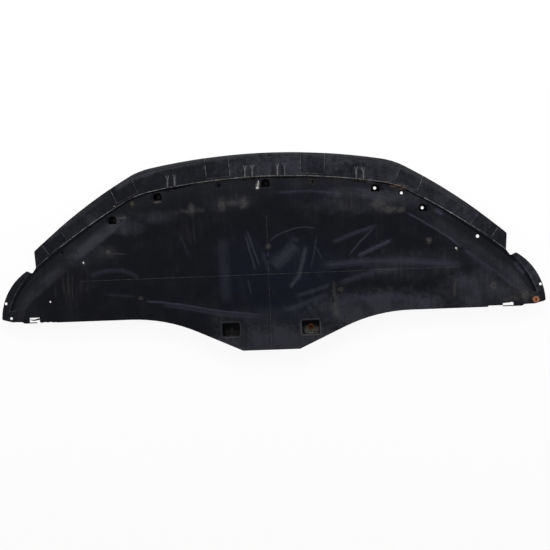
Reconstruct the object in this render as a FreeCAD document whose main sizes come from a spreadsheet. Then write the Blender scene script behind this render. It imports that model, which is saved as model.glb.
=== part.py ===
"""Front bumper undertray: one moulded tray, lying road side up, with two seized screws left in it.

X runs to the side, Y to the front of the car and Z out of the road side. The origin is under the middle of
the tray, on the plane of the bolt pocket floors that it lies on. Sizes are in millimetres and degrees.
"""
import FreeCAD, Part
import math
import os
import Sketcher

os.makedirs("parts", exist_ok=True)
doc = FreeCAD.newDocument("front_undertray")

# Driving sizes. A setback is measured rearwards from the middle of the front edge.
SIZES = {
    # The whole tray
    "overall_width": 1634,
    "overall_depth": 590,
    "wall": 2.5,
    "panel_height": 36,
    "lip_height": 27,
    "gutter_height": 22,
    # Front edge of the lip, from the middle outwards: a wide arc, a shoulder and a long side
    "edge_middle_radius": 1880,
    "edge_middle_turn": 10.6,
    "edge_shoulder_radius": 230,
    "edge_shoulder_turn": 18.8,
    "edge_side_radius": 1645,
    "edge_side_turn": 12.6,
    # Step at the back of the lip, which runs on as the ridge of the wing
    "lip_width": 70,
    "step_middle_radius": 1920,
    "step_middle_turn": 10.4,
    "step_shoulder_radius": 273,
    "step_shoulder_turn": 18.3,
    "step_side_radius": 1878,
    "step_side_turn": 10.2,
    "step_wing_radius": 270,
    "step_wing_turn": 36,
    # Bottom of the gutter behind the step
    "gutter_width": 4,
    "gutter_middle_radius": 1916,
    "gutter_middle_turn": 10.4,
    "gutter_shoulder_radius": 269,
    "gutter_shoulder_turn": 21,
    "gutter_side_radius": 2300,
    "gutter_side_turn": 8.2,
    "gutter_wing_radius": 262,
    "gutter_wing_turn": 36,
    # Crease between the sloping band and the flat panel
    "band_width": 70,
    "crease_middle_radius": 2500,
    "crease_middle_turn": 7.6,
    "crease_shoulder_radius": 222,
    "crease_shoulder_turn": 29,
    "crease_side_radius": 9600,
    "crease_side_turn": 2.1,
    "crease_wing_radius": 115,
    "crease_wing_turn": 46,
    # Wing
    "notch_x": 718.5,
    "notch_setback": 334.6,
    "hump_x": 734.5,
    "hump_setback": 326.2,
    "wing_edge_radius": 174,
    "tip_setback": 472,
    "tip_slope_run": 32,
    "tip_flat_setback": 480.5,
    "tip_flat_run": 32,
    "tab_slope_run": 8,
    "corner_land_width": 50,
    "corner_land_setback": 446,
    # Rear edge and tongue
    "rear_setback": 485,
    "tongue_blend_x": 420,
    "tongue_blend_radius": 480,
    "tongue_flare": 24.5,
    # Rounded corners of the outline
    "lip_corner_radius": 9,
    "notch_radius": 5,
    "hump_radius": 7,
    "tip_radius": 6,
    "tongue_radius": 6,
    # Rolled edge and clip seats of the lip
    "roll_width": 8,
    "roll_height": 1.5,
    "clip_seat_width": 70,
    "clip_seat_depth": 2,
    "clip_seat_gap": 8,
    "clip_seat_inner_x": 140,
    "clip_seat_inner_turn": 4,
    "clip_seat_middle_x": 415,
    "clip_seat_middle_turn": 24,
    "clip_seat_outer_x": 631,
    "clip_seat_outer_turn": 35,
    # Hipped ribs on the lip, in pairs
    "rib_length": 38,
    "rib_base": 11,
    "rib_crest": 2,
    "rib_height": 5,
    "rib_hip": 13,
    "rib_pitch": 21.5,
    "rib_inner_x": 48.7,
    "rib_outer_x": 282.7,
    # Front bolt pockets, round to the front and straight to the rear
    "front_pocket_width": 27,
    "front_pocket_depth": 25,
    "front_pocket_bore": 9,
    "front_pocket_draft": 2,
    "middle_pocket_setback": 90.4,
    "inner_pocket_x": 326.5,
    "inner_pocket_setback": 118,
    "outer_pocket_x": 466,
    "outer_pocket_setback": 183,
    "pocket_ramp_run": 18,
    "pocket_ramp_drop": 8,
    "pocket_ramp_level": 28,
    "pocket_ramp_width": 17,
    # Rear bolt pockets
    "rear_pocket_x": 119.5,
    "rear_pocket_setback": 526.3,
    "rear_pocket_width": 54,
    "rear_pocket_depth": 43,
    "rear_pocket_corner": 6,
    "rear_pocket_draft": 5,
    "rear_pocket_bore": 8,
    "rim_width": 4,
    "rim_height": 1.2,
    # Bolt seats let into the sloping band and the wing corner
    "seat_diameter": 19,
    # Gate marks and moulded lines of the panel
    "gate_diameter": 20,
    "gate_depth": 0.5,
    "gate_x": 481,
    "gate_setback": 280,
    "line_width": 2,
    "line_height": 0.6,
    "cross_line_setback": 363.5,
    "cross_line_half": 570,
    "middle_line_setback": 188,
    # Clip slots at the rear edge, each with a thin strip behind it
    "slot_width": 31,
    "slot_strip_width": 3,
    "left_slot_inset": 103,
    "left_slot_setback": 468.3,
    "sliver_reach": 17,
    "sliver_root": 5.5,
    "sliver_drop": 9.5,
    "strand_drop": 4.8,
    "strand_width": 1.2,
    "right_slot_inset": 112,
    "right_slot_setback": 473,
    "slot_tooth": 2.5,
    # Ragged breaks of the rear edge beside the slots
    "broken_strip_width": 43,
    "broken_strip_depth": 3.5,
    "strip_gap": 8,
    "ragged_length": 51,
    "ragged_depth": 2.5,
    # Split beside the middle pocket
    "split_x": 22,
    "split_setback": 89,
    "split_length": 30,
    "split_width": 1.4,
    "split_lean": 11,
    "split_hole": 7.5,
    "split_mouth": 5.5,
    # Seized screws
    "screw_head": 19,
    "screw_head_height": 2.4,
    "screw_slot_length": 10,
    "screw_slot_width": 4.5,
    "screw_slot_depth": 1.4,
    "screw_shank": 6,
    # Margins by which cutting shapes run past the tray
    "rear_overrun": 60,
    "side_overrun": 50,
    "headroom": 20,
    "underrun": 5,
    "lap": 1,
}
# Round holes in mirrored pairs: distance from the wing tip, setback and bore
WING_HOLES = {
    "wing_edge_hole": (14, 423, 8),
    "wing_corner_hole": (28.5, 468.5, 8),
}
# Round holes in mirrored pairs: distance from the middle line, setback and bore
BOLT_HOLES = {
    "gutter_hole": (624, 274.5, 10),
    "shoulder_hole": (404, 137, 8.5),
    "front_hole": (141, 92, 8.5),
}
# Small drains and pin holes in mirrored pairs, many-sided: distance from the middle line, setback and bore
PIN_HOLES = {
    "crease_hole": (558, 307.3, 5),
    "wing_panel_hole": (664, 422, 5),
    "band_drain": (576, 279, 4.5),
    "wing_drain": (668, 350, 4.5),
    "outer_drain": (387.5, 419.4, 4.5),
    "middle_drain": (213, 417, 4.5),
    "inner_drain": (61, 415.7, 4.5),
    "front_inner_drain": (64, 187, 4.5),
    "tongue_drain": (61, 527, 4.5),
    "pocket_drain": (131, 541, 4.5),
}
# Small drains without a mirrored partner: place along X, setback and bore
LONE_DRAINS = {
    "panel_drain": (0, 318, 4.5),
    "front_left_drain": (-169, 185.5, 4.5),
    "front_right_drain": (219, 185.5, 4.5),
}
PIN_SIDES = 10
SEATED_HOLES = ("shoulder_hole", "front_hole")
for holes, sideways in ((WING_HOLES, "inset"), (BOLT_HOLES, "x"), (PIN_HOLES, "x"), (LONE_DRAINS, "x")):
    for hole, measures in holes.items():
        for measure, size in zip((sideways, "setback", "bore"), measures):
            SIZES[f"{hole}_{measure}"] = size

sheet = doc.addObject("Spreadsheet::Sheet", "Sizes")
for row, (name, size) in enumerate(SIZES.items(), 1):
    sheet.set(f"A{row}", name)
    sheet.set(f"B{row}", str(size))
    sheet.setAlias(f"B{row}", name)
points = doc.addObject("Spreadsheet::Sheet", "Points")
doc.recompute()

# Common places, as expressions
FRONT = "Sizes.overall_depth / 2"
REAR = "-Sizes.overall_depth / 2"
TIP = "Sizes.overall_width / 2"
PAST_REAR = "(-Sizes.overall_depth / 2 - Sizes.rear_overrun)"
TOP = "Sizes.panel_height + Sizes.headroom"
BELOW = "-Sizes.underrun"
RIGHT_THROUGH = "(Sizes.panel_height + Sizes.headroom + Sizes.underrun)"


def behind(setback):
    """Y of a place that lies a named setback behind the front edge."""
    return f"{FRONT} - Sizes.{setback}"


def bind(item, sizes):
    """Tie properties of an object to expressions."""
    for name, expression in sizes.items():
        item.setExpression(name, expression)
    return item


def place(item, x, y, z):
    """Tie an object's place to three expressions."""
    return bind(item, {"Placement.Base.x": x, "Placement.Base.y": y, "Placement.Base.z": z})


def group(kind, name, members):
    """A fusion or another boolean of several objects."""
    item = doc.addObject(kind, name)
    item.Shapes = members
    return item


def cut(name, base, tool):
    """What is left of one object after another is taken away."""
    item = doc.addObject("Part::Cut", name)
    item.Base = base
    item.Tool = tool
    return item


def block(name, x, y, z, length, width, height, axis=None, angle="0"):
    """A box with its lowest corner at a place, turned there about an axis."""
    item = doc.addObject("Part::Box", name)
    if axis:
        item.Placement = FreeCAD.Placement(FreeCAD.Vector(), FreeCAD.Rotation(axis, 1))
        bind(item, {"Placement.Rotation.Angle": angle})
    bind(item, {"Length": length, "Width": width, "Height": height})
    return place(item, x, y, z)


def drum(name, x, y, z, diameter, height):
    """An upright cylinder."""
    item = doc.addObject("Part::Cylinder", name)
    bind(item, {"Radius": f"({diameter}) / 2", "Height": height})
    return place(item, x, y, z)


def pin(name, x, y, diameter):
    """A many-sided upright pin through the whole height."""
    item = doc.addObject("Part::Prism", name)
    item.Polygon = PIN_SIDES
    bind(item, {"Circumradius": f"({diameter}) / 2", "Height": RIGHT_THROUGH})
    return place(item, x, y, BELOW)


def arc_run(name, start, parts, inset="0"):
    """Joints of tangent arcs that leave the middle line sideways and turn to the rear.

    An inset moves the whole run inwards by that much and keeps it parallel. Each joint is (x, y, radius of
    the arc that ends there).
    """
    x, y, heading = "0", f"{start} - ({inset})", "0"
    joints = []
    for count, part in enumerate(parts, 1):
        radius = f"(Sizes.{part}_radius - ({inset}))"
        turned = f"{heading} + Sizes.{part}_turn"
        steps = {
            "x": f"={x} + {radius} * (sin({turned}) - sin({heading}))",
            "y": f"={y} - {radius} * (cos({heading}) - cos({turned}))",
        }
        row = len(points.getUsedCells()) + 1
        for offset, (axis, formula) in enumerate(steps.items()):
            points.set(f"A{row + offset}", formula)
            points.setAlias(f"A{row + offset}", f"{name}_{count}_{axis}")
        x, y, heading = f"Points.{name}_{count}_x", f"Points.{name}_{count}_y", turned
        joints.append((x, y, radius))
        x, y = x.replace("Points.", ""), y.replace("Points.", "")
    doc.recompute()
    return joints


def arc_between(start, end, radius, hollow):
    """Arc of a closed outline that runs counterclockwise, bulging outwards unless it is hollow."""
    side = -1 if hollow else 1
    chord = end - start
    left = FreeCAD.Vector(-chord.y, chord.x, 0).normalize()
    centre = (start + end) * 0.5 + left * side * math.sqrt(radius ** 2 - (chord.Length / 2) ** 2)
    first, last = (end, start) if hollow else (start, end)
    angles = [math.atan2(point.y - centre.y, point.x - centre.x) for point in (first, last)]
    circle = Part.Circle(centre, FreeCAD.Vector(0, 0, 1), radius)
    return Part.ArcOfCircle(circle, *angles)


def outline(name, corners, height):
    """Closed sketch at a height. Each corner is (x, y, radius of the arc to the next corner, hollow)."""
    sketch = doc.addObject("Sketcher::SketchObject", name)
    bind(sketch, {"Placement.Base.z": height})
    corners = [(*corner, None, False)[:4] if len(corner) == 2 else (*corner, False)[:4] for corner in corners]
    places = [FreeCAD.Vector(*(float(sketch.evalExpression(e)) for e in corner[:2]), 0) for corner in corners]
    starts, ends = [], []
    for index, (_, _, radius, hollow) in enumerate(corners):
        start, end = places[index], places[(index + 1) % len(places)]
        if radius is None:
            sketch.addGeometry(Part.LineSegment(start, end))
        else:
            sketch.addGeometry(arc_between(start, end, float(sketch.evalExpression(radius)), hollow))
        starts.append(2 if hollow else 1)
        ends.append(1 if hollow else 2)
    for index, (x, y, radius, _) in enumerate(corners):
        following = (index + 1) % len(corners)
        joint = Sketcher.Constraint("Coincident", index, ends[index], following, starts[following])
        sketch.addConstraint(joint)
        for kind, value, expression in (("DistanceX", places[index].x, x), ("DistanceY", places[index].y, y)):
            held = sketch.addConstraint(Sketcher.Constraint(kind, -1, 1, index, starts[index], value))
            sketch.setExpression(f"Constraints[{held}]", expression)
        if radius is not None:
            value = float(sketch.evalExpression(radius))
            held = sketch.addConstraint(Sketcher.Constraint("Radius", index, value))
            sketch.setExpression(f"Constraints[{held}]", radius)
    return sketch


def prism(name, sketch, length, taper=None):
    """A sketch drawn out along Z, upwards or, with a negative length, downwards."""
    item = doc.addObject("Part::Extrusion", name)
    item.Base = sketch
    item.DirMode = "Custom"
    item.Dir = FreeCAD.Vector(0, 0, 1)
    item.Solid = True
    bind(item, {"LengthFwd": length})
    if taper:
        bind(item, {"TaperAngle": taper})
    return item


def loft(name, sections):
    """A solid with straight sides between sketches."""
    item = doc.addObject("Part::Loft", name)
    item.Sections = sections
    item.Solid = True
    item.Ruled = True
    return item


def mirrored(corners):
    """Corners of the right half, followed by the left half in reverse, as one closed outline."""
    left = []
    for index in range(len(corners) - 1, -1, -1):
        x, y = corners[index][:2]
        into = corners[index - 1][2:] if index else ()
        left.append((f"-({x})", y, *into))
    return list(corners) + left


# Plan outline of the tray
edge = arc_run("edge", FRONT, ["edge_middle", "edge_shoulder", "edge_side"])
STEP_PARTS = ["step_middle", "step_shoulder", "step_side", "step_wing"]
step = arc_run("step", behind("lip_width"), STEP_PARTS)
blend_x = "(Sizes.tongue_blend_x - Sizes.tongue_blend_radius * sin(Sizes.tongue_flare))"
blend_y = f"({behind('rear_setback')} - Sizes.tongue_blend_radius * (1 - cos(Sizes.tongue_flare)))"
tongue_x = f"({blend_x} - ({blend_y} - ({REAR})) / tan(Sizes.tongue_flare))"
plan_corners = mirrored([
    (tongue_x, REAR),
    (blend_x, blend_y, "Sizes.tongue_blend_radius", True),
    ("Sizes.tongue_blend_x", behind("rear_setback")),
    (f"{TIP} - Sizes.tip_slope_run - Sizes.tip_flat_run - Sizes.tab_slope_run", behind("rear_setback")),
    (f"{TIP} - Sizes.tip_slope_run - Sizes.tip_flat_run", behind("tip_flat_setback")),
    (f"{TIP} - Sizes.tip_slope_run", behind("tip_flat_setback")),
    (TIP, behind("tip_setback"), "Sizes.wing_edge_radius"),
    ("Sizes.hump_x", behind("hump_setback")),
    ("Sizes.notch_x", behind("notch_setback")),
    step[2][:2],
    (*edge[2][:2], edge[2][2]),
    (*edge[1][:2], edge[1][2]),
    (*edge[0][:2], edge[0][2]),
])
plan = outline("plan", plan_corners, "0")
doc.recompute()


def rounded(name, base, corners):
    """A prism whose upright edges nearest to the given corners, and to their mirror images, are rounded."""
    doc.recompute()
    uprights = []
    for index, edge_shape in enumerate(base.Shape.Edges, 1):
        ends = [vertex.Point for vertex in edge_shape.Vertexes]
        if len(ends) == 2 and math.hypot(ends[0].x - ends[1].x, ends[0].y - ends[1].y) < 0.001:
            uprights.append((index, ends[0]))
    chosen = []
    for x, y, radius in corners:
        value = float(sheet.evalExpression(radius))
        for side in (1, -1):
            spot = FreeCAD.Vector(side * float(sheet.evalExpression(x)), float(sheet.evalExpression(y)), 0)
            nearest = min(uprights, key=lambda item: math.hypot(item[1].x - spot.x, item[1].y - spot.y))
            chosen.append((nearest[0], value, value))
    item = doc.addObject("Part::Fillet", name)
    item.Base = base
    item.Edges = chosen
    return item


tall_plan = rounded("tall_plan", prism("plan_prism", plan, TOP), [
    (tongue_x, REAR, "Sizes.tongue_radius"),
    (TIP, behind("tip_setback"), "Sizes.tip_radius"),
    ("Sizes.hump_x", behind("hump_setback"), "Sizes.hump_radius"),
    ("Sizes.notch_x", behind("notch_setback"), "Sizes.notch_radius"),
    (*edge[2][:2], "Sizes.lip_corner_radius"),
])


def trimmed(name, item):
    """The part of a solid that lies within the plan outline."""
    return group("Part::MultiCommon", name, [item, tall_plan])


# Road surface: a lip, a gutter behind its step, a band that rises from the gutter, and the flat panel
GUTTER_PARTS = ["gutter_middle", "gutter_shoulder", "gutter_side", "gutter_wing"]
CREASE_PARTS = ["crease_middle", "crease_shoulder", "crease_side", "crease_wing"]
STARTS = {
    "step": (behind("lip_width"), STEP_PARTS),
    "gutter": (f"{behind('lip_width')} - Sizes.gutter_width", GUTTER_PARTS),
    "crease": (f"{behind('lip_width')} - Sizes.band_width", CREASE_PARTS),
}


def contour(line, side, inset, height):
    """Sketch of one line of the road surface, closed behind the rear edge."""
    start, parts = STARTS[line]
    joints = arc_run(f"{line}_{side}", start, parts, inset)
    right = [(joints[-1][0], PAST_REAR), (*joints[-1][:2], joints[-1][2])]
    right += [(*joint[:2], joint[2]) for joint in joints[-2::-1]]
    return outline(f"{line}_{side}_line", mirrored(right), height)


def basin(side, inset, drop):
    """The hollow between the step and the bottom of the gutter."""
    low = contour("gutter", f"{side}_basin", inset, f"Sizes.gutter_height - ({drop})")
    high = contour("step", f"{side}_basin", inset, f"Sizes.lip_height - ({drop})")
    return loft(f"{side}_basin", [low, high])


def dome(side, inset, drop):
    """The band and the panel, standing on the bottom of the gutter."""
    low = contour("gutter", f"{side}_dome", inset, f"Sizes.gutter_height - ({drop})")
    high = contour("crease", f"{side}_dome", inset, f"Sizes.panel_height - ({drop})")
    return loft(f"{side}_dome", [low, high])


def slab(name, height):
    """A block under the whole tray, up to a height."""
    width = "Sizes.overall_width + 2 * Sizes.side_overrun"
    depth = "Sizes.overall_depth + 2 * Sizes.side_overrun"
    tall = f"{height} + Sizes.underrun"
    return block(name, f"-({width}) / 2", f"-({depth}) / 2", BELOW, width, depth, tall)


def corner_blocks(name, grow, foot, top):
    """A block at each wing corner between two heights, over the flat land there grown by some amount."""
    reach = f"Sizes.corner_land_width + {grow} + Sizes.side_overrun"
    depth = f"{behind('corner_land_setback')} + {grow} - {PAST_REAR}"
    starts = {"right": f"{TIP} - Sizes.corner_land_width - {grow}", "left": f"-({TIP}) - Sizes.side_overrun"}
    return [block(f"{hand}_{name}", start, PAST_REAR, foot, reach, depth, f"{top} - ({foot})")
            for hand, start in starts.items()]


def mass(side, basin_inset, wall):
    """The block under the road side or, one wall lower and further in, under the hidden side."""
    level = f"Sizes.lip_height - {wall}"
    lip = cut(f"{side}_lip", slab(f"{side}_slab", level), basin(side, basin_inset, wall))
    # Flat lands for the wing bolts close the ends of the gutter, with room over them
    lands = corner_blocks(f"{side}_land", f"(-{wall})", BELOW, level)
    rooms = group("Part::MultiFuse", f"{side}_rooms", corner_blocks(f"{side}_room", wall, level, TOP))
    crown = cut(f"{side}_crown", dome(side, wall, wall), rooms)
    return group("Part::MultiFuse", f"{side}_mass", [lip, crown, *lands])


road_block = trimmed("road_block", mass("road", "0", "0"))
inner_block = mass("inner", "-Sizes.wall", "Sizes.wall")

# Everything that is cut from the road side, and what backs it one wall thicker on the hidden side
cuts = []
backs = []
raised = []


def round_front(name, x, y, grow):
    """Sketch of a front bolt pocket: half round to the front, straight to the rear."""
    half = f"(Sizes.front_pocket_width / 2 + {grow})"
    rear = f"({y}) - Sizes.front_pocket_depth / 2 - {grow}"
    shoulder = f"({y}) + Sizes.front_pocket_depth / 2 - Sizes.front_pocket_width / 2"
    corners = [
        (f"({x}) - {half}", rear),
        (f"({x}) + {half}", rear),
        (f"({x}) + {half}", shoulder, half),
        (f"{x}", f"{shoulder} + {half}", half),
        (f"({x}) - {half}", shoulder),
    ]
    return outline(name, corners, "Sizes.panel_height")


def front_pocket(name, x, y, ramp_side):
    """A front bolt pocket with its floor on the resting plane, and a short ramp at its outer side."""
    void = round_front(f"{name}_mouth", x, y, "0")
    cup = round_front(f"{name}_back", x, y, "Sizes.wall")
    cuts.append(prism(f"{name}_void", void, "Sizes.wall - Sizes.panel_height", "Sizes.front_pocket_draft"))
    backs.append(prism(f"{name}_cup", cup, "-Sizes.panel_height", "Sizes.front_pocket_draft"))
    cuts.append(drum(f"{name}_hole", x, y, BELOW, "Sizes.front_pocket_bore", TOP))
    if ramp_side:
        ramp(name, x, y, ramp_side)


def ramp(name, x, y, side):
    """Sloping entry that runs down to a pocket from its outer side."""
    reach = "(Sizes.front_pocket_width / 2 + Sizes.pocket_ramp_run)"
    slope = "atan(Sizes.pocket_ramp_drop / Sizes.pocket_ramp_run)"
    fall = f"{reach} * Sizes.pocket_ramp_drop / Sizes.pocket_ramp_run"
    for kind, grow, keep in (("ramp", "0", cuts), ("ramp_back", "Sizes.wall", backs)):
        foot_x = f"({x})" if side > 0 else f"({x}) - {reach}"
        foot_z = f"Sizes.pocket_ramp_level - {grow}" + (f" - {fall}" if side > 0 else "")
        foot_y = f"({y}) - Sizes.pocket_ramp_width / 2 - {grow}"
        keep.append(block(f"{name}_{kind}", foot_x, foot_y, foot_z, f"{reach} / cos({slope}) + {grow}",
                          f"Sizes.pocket_ramp_width + 2 * {grow}", "Sizes.panel_height / 2",
                          FreeCAD.Vector(0, 1, 0), f"{-side} * {slope}"))


front_pocket("middle_pocket", "0", behind("middle_pocket_setback"), 0)
for side_name, side in (("right", 1), ("left", -1)):
    for spot in ("inner_pocket", "outer_pocket"):
        x, y = f"{side} * Sizes.{spot}_x", behind(f"{spot}_setback")
        front_pocket(f"{side_name}_{spot}", x, y, side)


def rounded_box(name, x, y, grow, height):
    """Sketch of a rectangle with rounded corners, grown outwards by some amount."""
    half_x = f"(Sizes.rear_pocket_width / 2 + {grow})"
    half_y = f"(Sizes.rear_pocket_depth / 2 + {grow})"
    radius = f"(Sizes.rear_pocket_corner + {grow})"
    corners = []
    for sign_x, sign_y, first in ((1, -1, "y"), (1, 1, "x"), (-1, 1, "y"), (-1, -1, "x")):
        along_x = (f"({x}) + {sign_x} * ({half_x} - {radius})", f"({y}) + {sign_y} * {half_y}")
        along_y = (f"({x}) + {sign_x} * {half_x}", f"({y}) + {sign_y} * ({half_y} - {radius})")
        pair = (along_x, along_y) if first == "y" else (along_y, along_x)
        corners += [(*pair[0], radius), pair[1]]
    return outline(name, corners, height)


for side_name, side in (("right", 1), ("left", -1)):
    x, y = f"{side} * Sizes.rear_pocket_x", behind("rear_pocket_setback")
    name = f"{side_name}_rear_pocket"
    mouth = rounded_box(f"{name}_mouth", x, y, "0", "Sizes.panel_height")
    cup = rounded_box(f"{name}_back", x, y, "Sizes.wall", "Sizes.panel_height")
    rim = rounded_box(f"{name}_rim_line", x, y, "Sizes.rim_width", "Sizes.panel_height - Sizes.wall / 2")
    cuts.append(prism(f"{name}_void", mouth, "Sizes.wall - Sizes.panel_height", "Sizes.rear_pocket_draft"))
    cuts.append(prism(f"{name}_mouth_void", mouth, TOP))
    backs.append(prism(f"{name}_cup", cup, "-Sizes.panel_height", "Sizes.rear_pocket_draft"))
    raised.append(prism(f"{name}_rim", rim, "Sizes.rim_height + Sizes.wall / 2"))
    cuts.append(drum(f"{name}_hole", x, y, BELOW, "Sizes.rear_pocket_bore", "Sizes.panel_height"))

# Bolt holes, some of them in a flat seat, and pin holes
def seated(name, x, y):
    """A flat round seat let into the sloping band round a bolt hole."""
    wide = "Sizes.seat_diameter + 2 * Sizes.wall"
    foot = "Sizes.gutter_height - Sizes.wall"
    cuts.append(drum(f"{name}_seat", x, y, "Sizes.gutter_height", "Sizes.seat_diameter", TOP))
    backs.append(drum(f"{name}_back", x, y, foot, wide, TOP))
    raised.append(drum(f"{name}_pad", x, y, foot, wide, "Sizes.wall"))


def half_width(hole):
    """Distance of a hole from the middle line."""
    return f"({TIP} - Sizes.{hole}_inset)" if hole in WING_HOLES else f"Sizes.{hole}_x"


for side_name, side in (("right", 1), ("left", -1)):
    for hole in (*WING_HOLES, *BOLT_HOLES, *PIN_HOLES):
        name, bore = f"{side_name}_{hole}", f"Sizes.{hole}_bore"
        x, y = f"{side} * {half_width(hole)}", behind(f"{hole}_setback")
        if hole in PIN_HOLES:
            cuts.append(pin(name, x, y, bore))
        else:
            cuts.append(drum(name, x, y, BELOW, bore, RIGHT_THROUGH))
        if hole in SEATED_HOLES:
            seated(name, x, y)
for drain in LONE_DRAINS:
    cuts.append(pin(drain, f"Sizes.{drain}_x", behind(f"{drain}_setback"), f"Sizes.{drain}_bore"))

# Rolled front edge of the lip
inset_edge = arc_run("roll", FRONT, ["edge_middle", "edge_shoulder", "edge_side"], "Sizes.roll_width")
roll_corners = [(*joint[:2], joint[2]) for joint in edge[::-1]]
roll_left = [(f"-({x})", y, edge[i + 1][2] if i < 2 else None) for i, (x, y, _) in enumerate(edge)]
back_left = [(f"-({x})", y, radius, True) for x, y, radius in inset_edge[::-1]]
back_right = [(x, y, inset_edge[i + 1][2] if i < 2 else None, True) for i, (x, y, _) in enumerate(inset_edge)]
back_right[-1] = back_right[-1][:2]
roll_line = outline("roll_line", roll_corners + roll_left + back_left + back_right,
                    "Sizes.lip_height - Sizes.wall / 2")
raised.append(trimmed("lip_roll", prism("roll_prism", roll_line, "Sizes.roll_height + Sizes.wall / 2")))


def step_sag(x):
    """How far the step has fallen back behind its middle at a distance from the middle line."""
    return f"(Sizes.step_middle_radius - sqrt(Sizes.step_middle_radius ^ 2 - {x} ^ 2))"


# Clip seats let into the lip
for seat in ("inner", "middle", "outer"):
    for side_name, side in (("right", 1), ("left", -1)):
        turn = f"Sizes.clip_seat_{seat}_turn"
        x = f"Sizes.clip_seat_{seat}_x"
        line_y = {
            "inner": f"{behind('lip_width')} - {step_sag(x)}",
            "middle": f"Points.step_2_y + (Points.step_2_x - {x}) * tan({turn})",
            "outer": f"Points.step_3_y + (Points.step_3_x - {x}) * tan({turn})",
        }[seat]
        for kind, grow, keep in (("seat", "0", cuts), ("seat_back", "Sizes.wall", backs)):
            half = f"(Sizes.clip_seat_width / 2 + {grow})"
            gap = f"(Sizes.clip_seat_gap - {grow})"
            corner_x = f"{side} * ({x} + {gap} * sin({turn})) - {half} * cos({turn})"
            corner_y = f"{line_y} + {gap} * cos({turn}) + {side} * {half} * sin({turn})"
            item = block(f"{side_name}_{seat}_{kind}", corner_x, corner_y,
                         f"Sizes.lip_height - Sizes.clip_seat_depth - {grow}", f"2 * {half}",
                         "Sizes.lip_width * 2", f"Sizes.clip_seat_depth + {grow} + Sizes.headroom",
                         FreeCAD.Vector(0, 0, 1), f"{-side} * {turn}")
            keep.append(item)


def hipped_rib(name, x, y):
    """A rib like a small hipped roof that runs forwards from the step."""
    rib = doc.addObject("Part::Wedge", name)
    rib.Placement = FreeCAD.Placement(FreeCAD.Vector(), FreeCAD.Rotation(FreeCAD.Vector(1, 0, 0), 90))
    half = "Sizes.rib_base / 2"
    crest = "Sizes.rib_crest / 2"
    bind(rib, {
        "Xmin": f"-{half}", "Xmax": half, "X2min": f"-{crest}", "X2max": crest,
        "Ymin": "0", "Ymax": "Sizes.rib_height",
        "Zmin": "-Sizes.rib_length", "Zmax": "0", "Z2min": "Sizes.rib_hip - Sizes.rib_length", "Z2max": "0",
    })
    return place(rib, x, y, "Sizes.lip_height")


for side in (1, -1):
    for pair, middle in (("inner", "Sizes.rib_inner_x"), ("outer", "Sizes.rib_outer_x")):
        for offset in (-1, 1):
            x = f"({middle} + {offset} * Sizes.rib_pitch / 2)"
            y = f"{behind('lip_width')} - {step_sag(x)} - Sizes.wall / 2"
            label = f"rib_{pair}_{'right' if side > 0 else 'left'}_{'out' if offset > 0 else 'in'}"
            raised.append(hipped_rib(label, f"{side} * {x}", y))

# Moulded lines and gate marks of the panel
line_foot = "Sizes.panel_height - Sizes.wall / 2"
line_tall = "Sizes.line_height + Sizes.wall / 2"
raised.append(block("cross_line", "-Sizes.cross_line_half",
                    f"{behind('cross_line_setback')} - Sizes.line_width / 2", line_foot,
                    "2 * Sizes.cross_line_half", "Sizes.line_width", line_tall))
raised.append(block("middle_line", "-Sizes.line_width / 2", REAR, line_foot, "Sizes.line_width",
                    f"{behind('middle_line_setback')} - ({REAR})", line_tall))
for gate, x in (("right", "Sizes.gate_x"), ("middle", "0"), ("left", "-Sizes.gate_x")):
    cuts.append(drum(f"{gate}_gate_mark", x, behind("gate_setback"), "Sizes.panel_height - Sizes.gate_depth",
                     "Sizes.gate_diameter", TOP))

# Left clip slot, with a torn sliver and a thin strand left across it, and its strip open at one end
SLOT_REAR = f"({behind('rear_setback')} + Sizes.slot_strip_width)"
left_end = f"(-({TIP}) + Sizes.left_slot_inset + Sizes.slot_width / 2)"
left_start = f"({left_end} - Sizes.slot_width)"
left_front = f"({behind('left_slot_setback')})"
left_slot = block("left_slot", left_start, SLOT_REAR, BELOW, "Sizes.slot_width",
                  f"{left_front} - {SLOT_REAR}", RIGHT_THROUGH)
sliver = prism("slot_sliver", outline("slot_sliver_line", [
    (f"{left_start} - Sizes.lap", f"{left_front} - Sizes.strand_drop - Sizes.strand_width"),
    (f"{left_end} - Sizes.sliver_reach", f"{left_front} - Sizes.sliver_drop"),
    (f"{left_end} + Sizes.lap", f"{left_front} - Sizes.lap - Sizes.sliver_root"),
    (f"{left_end} + Sizes.lap", f"{left_front} - Sizes.lap"),
    (f"{left_end} - Sizes.sliver_reach", f"{left_front} - Sizes.strand_drop - Sizes.strand_width / 2"),
    (f"{left_start} - Sizes.lap", f"{left_front} - Sizes.strand_drop"),
], BELOW), RIGHT_THROUGH)
cuts.append(cut("left_slot_break", left_slot, sliver))
cuts.append(block("left_strip_gap", f"{left_end} - Sizes.strip_gap", PAST_REAR, BELOW, "Sizes.strip_gap",
                  f"{SLOT_REAR} + Sizes.lap - {PAST_REAR}", RIGHT_THROUGH))

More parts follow.
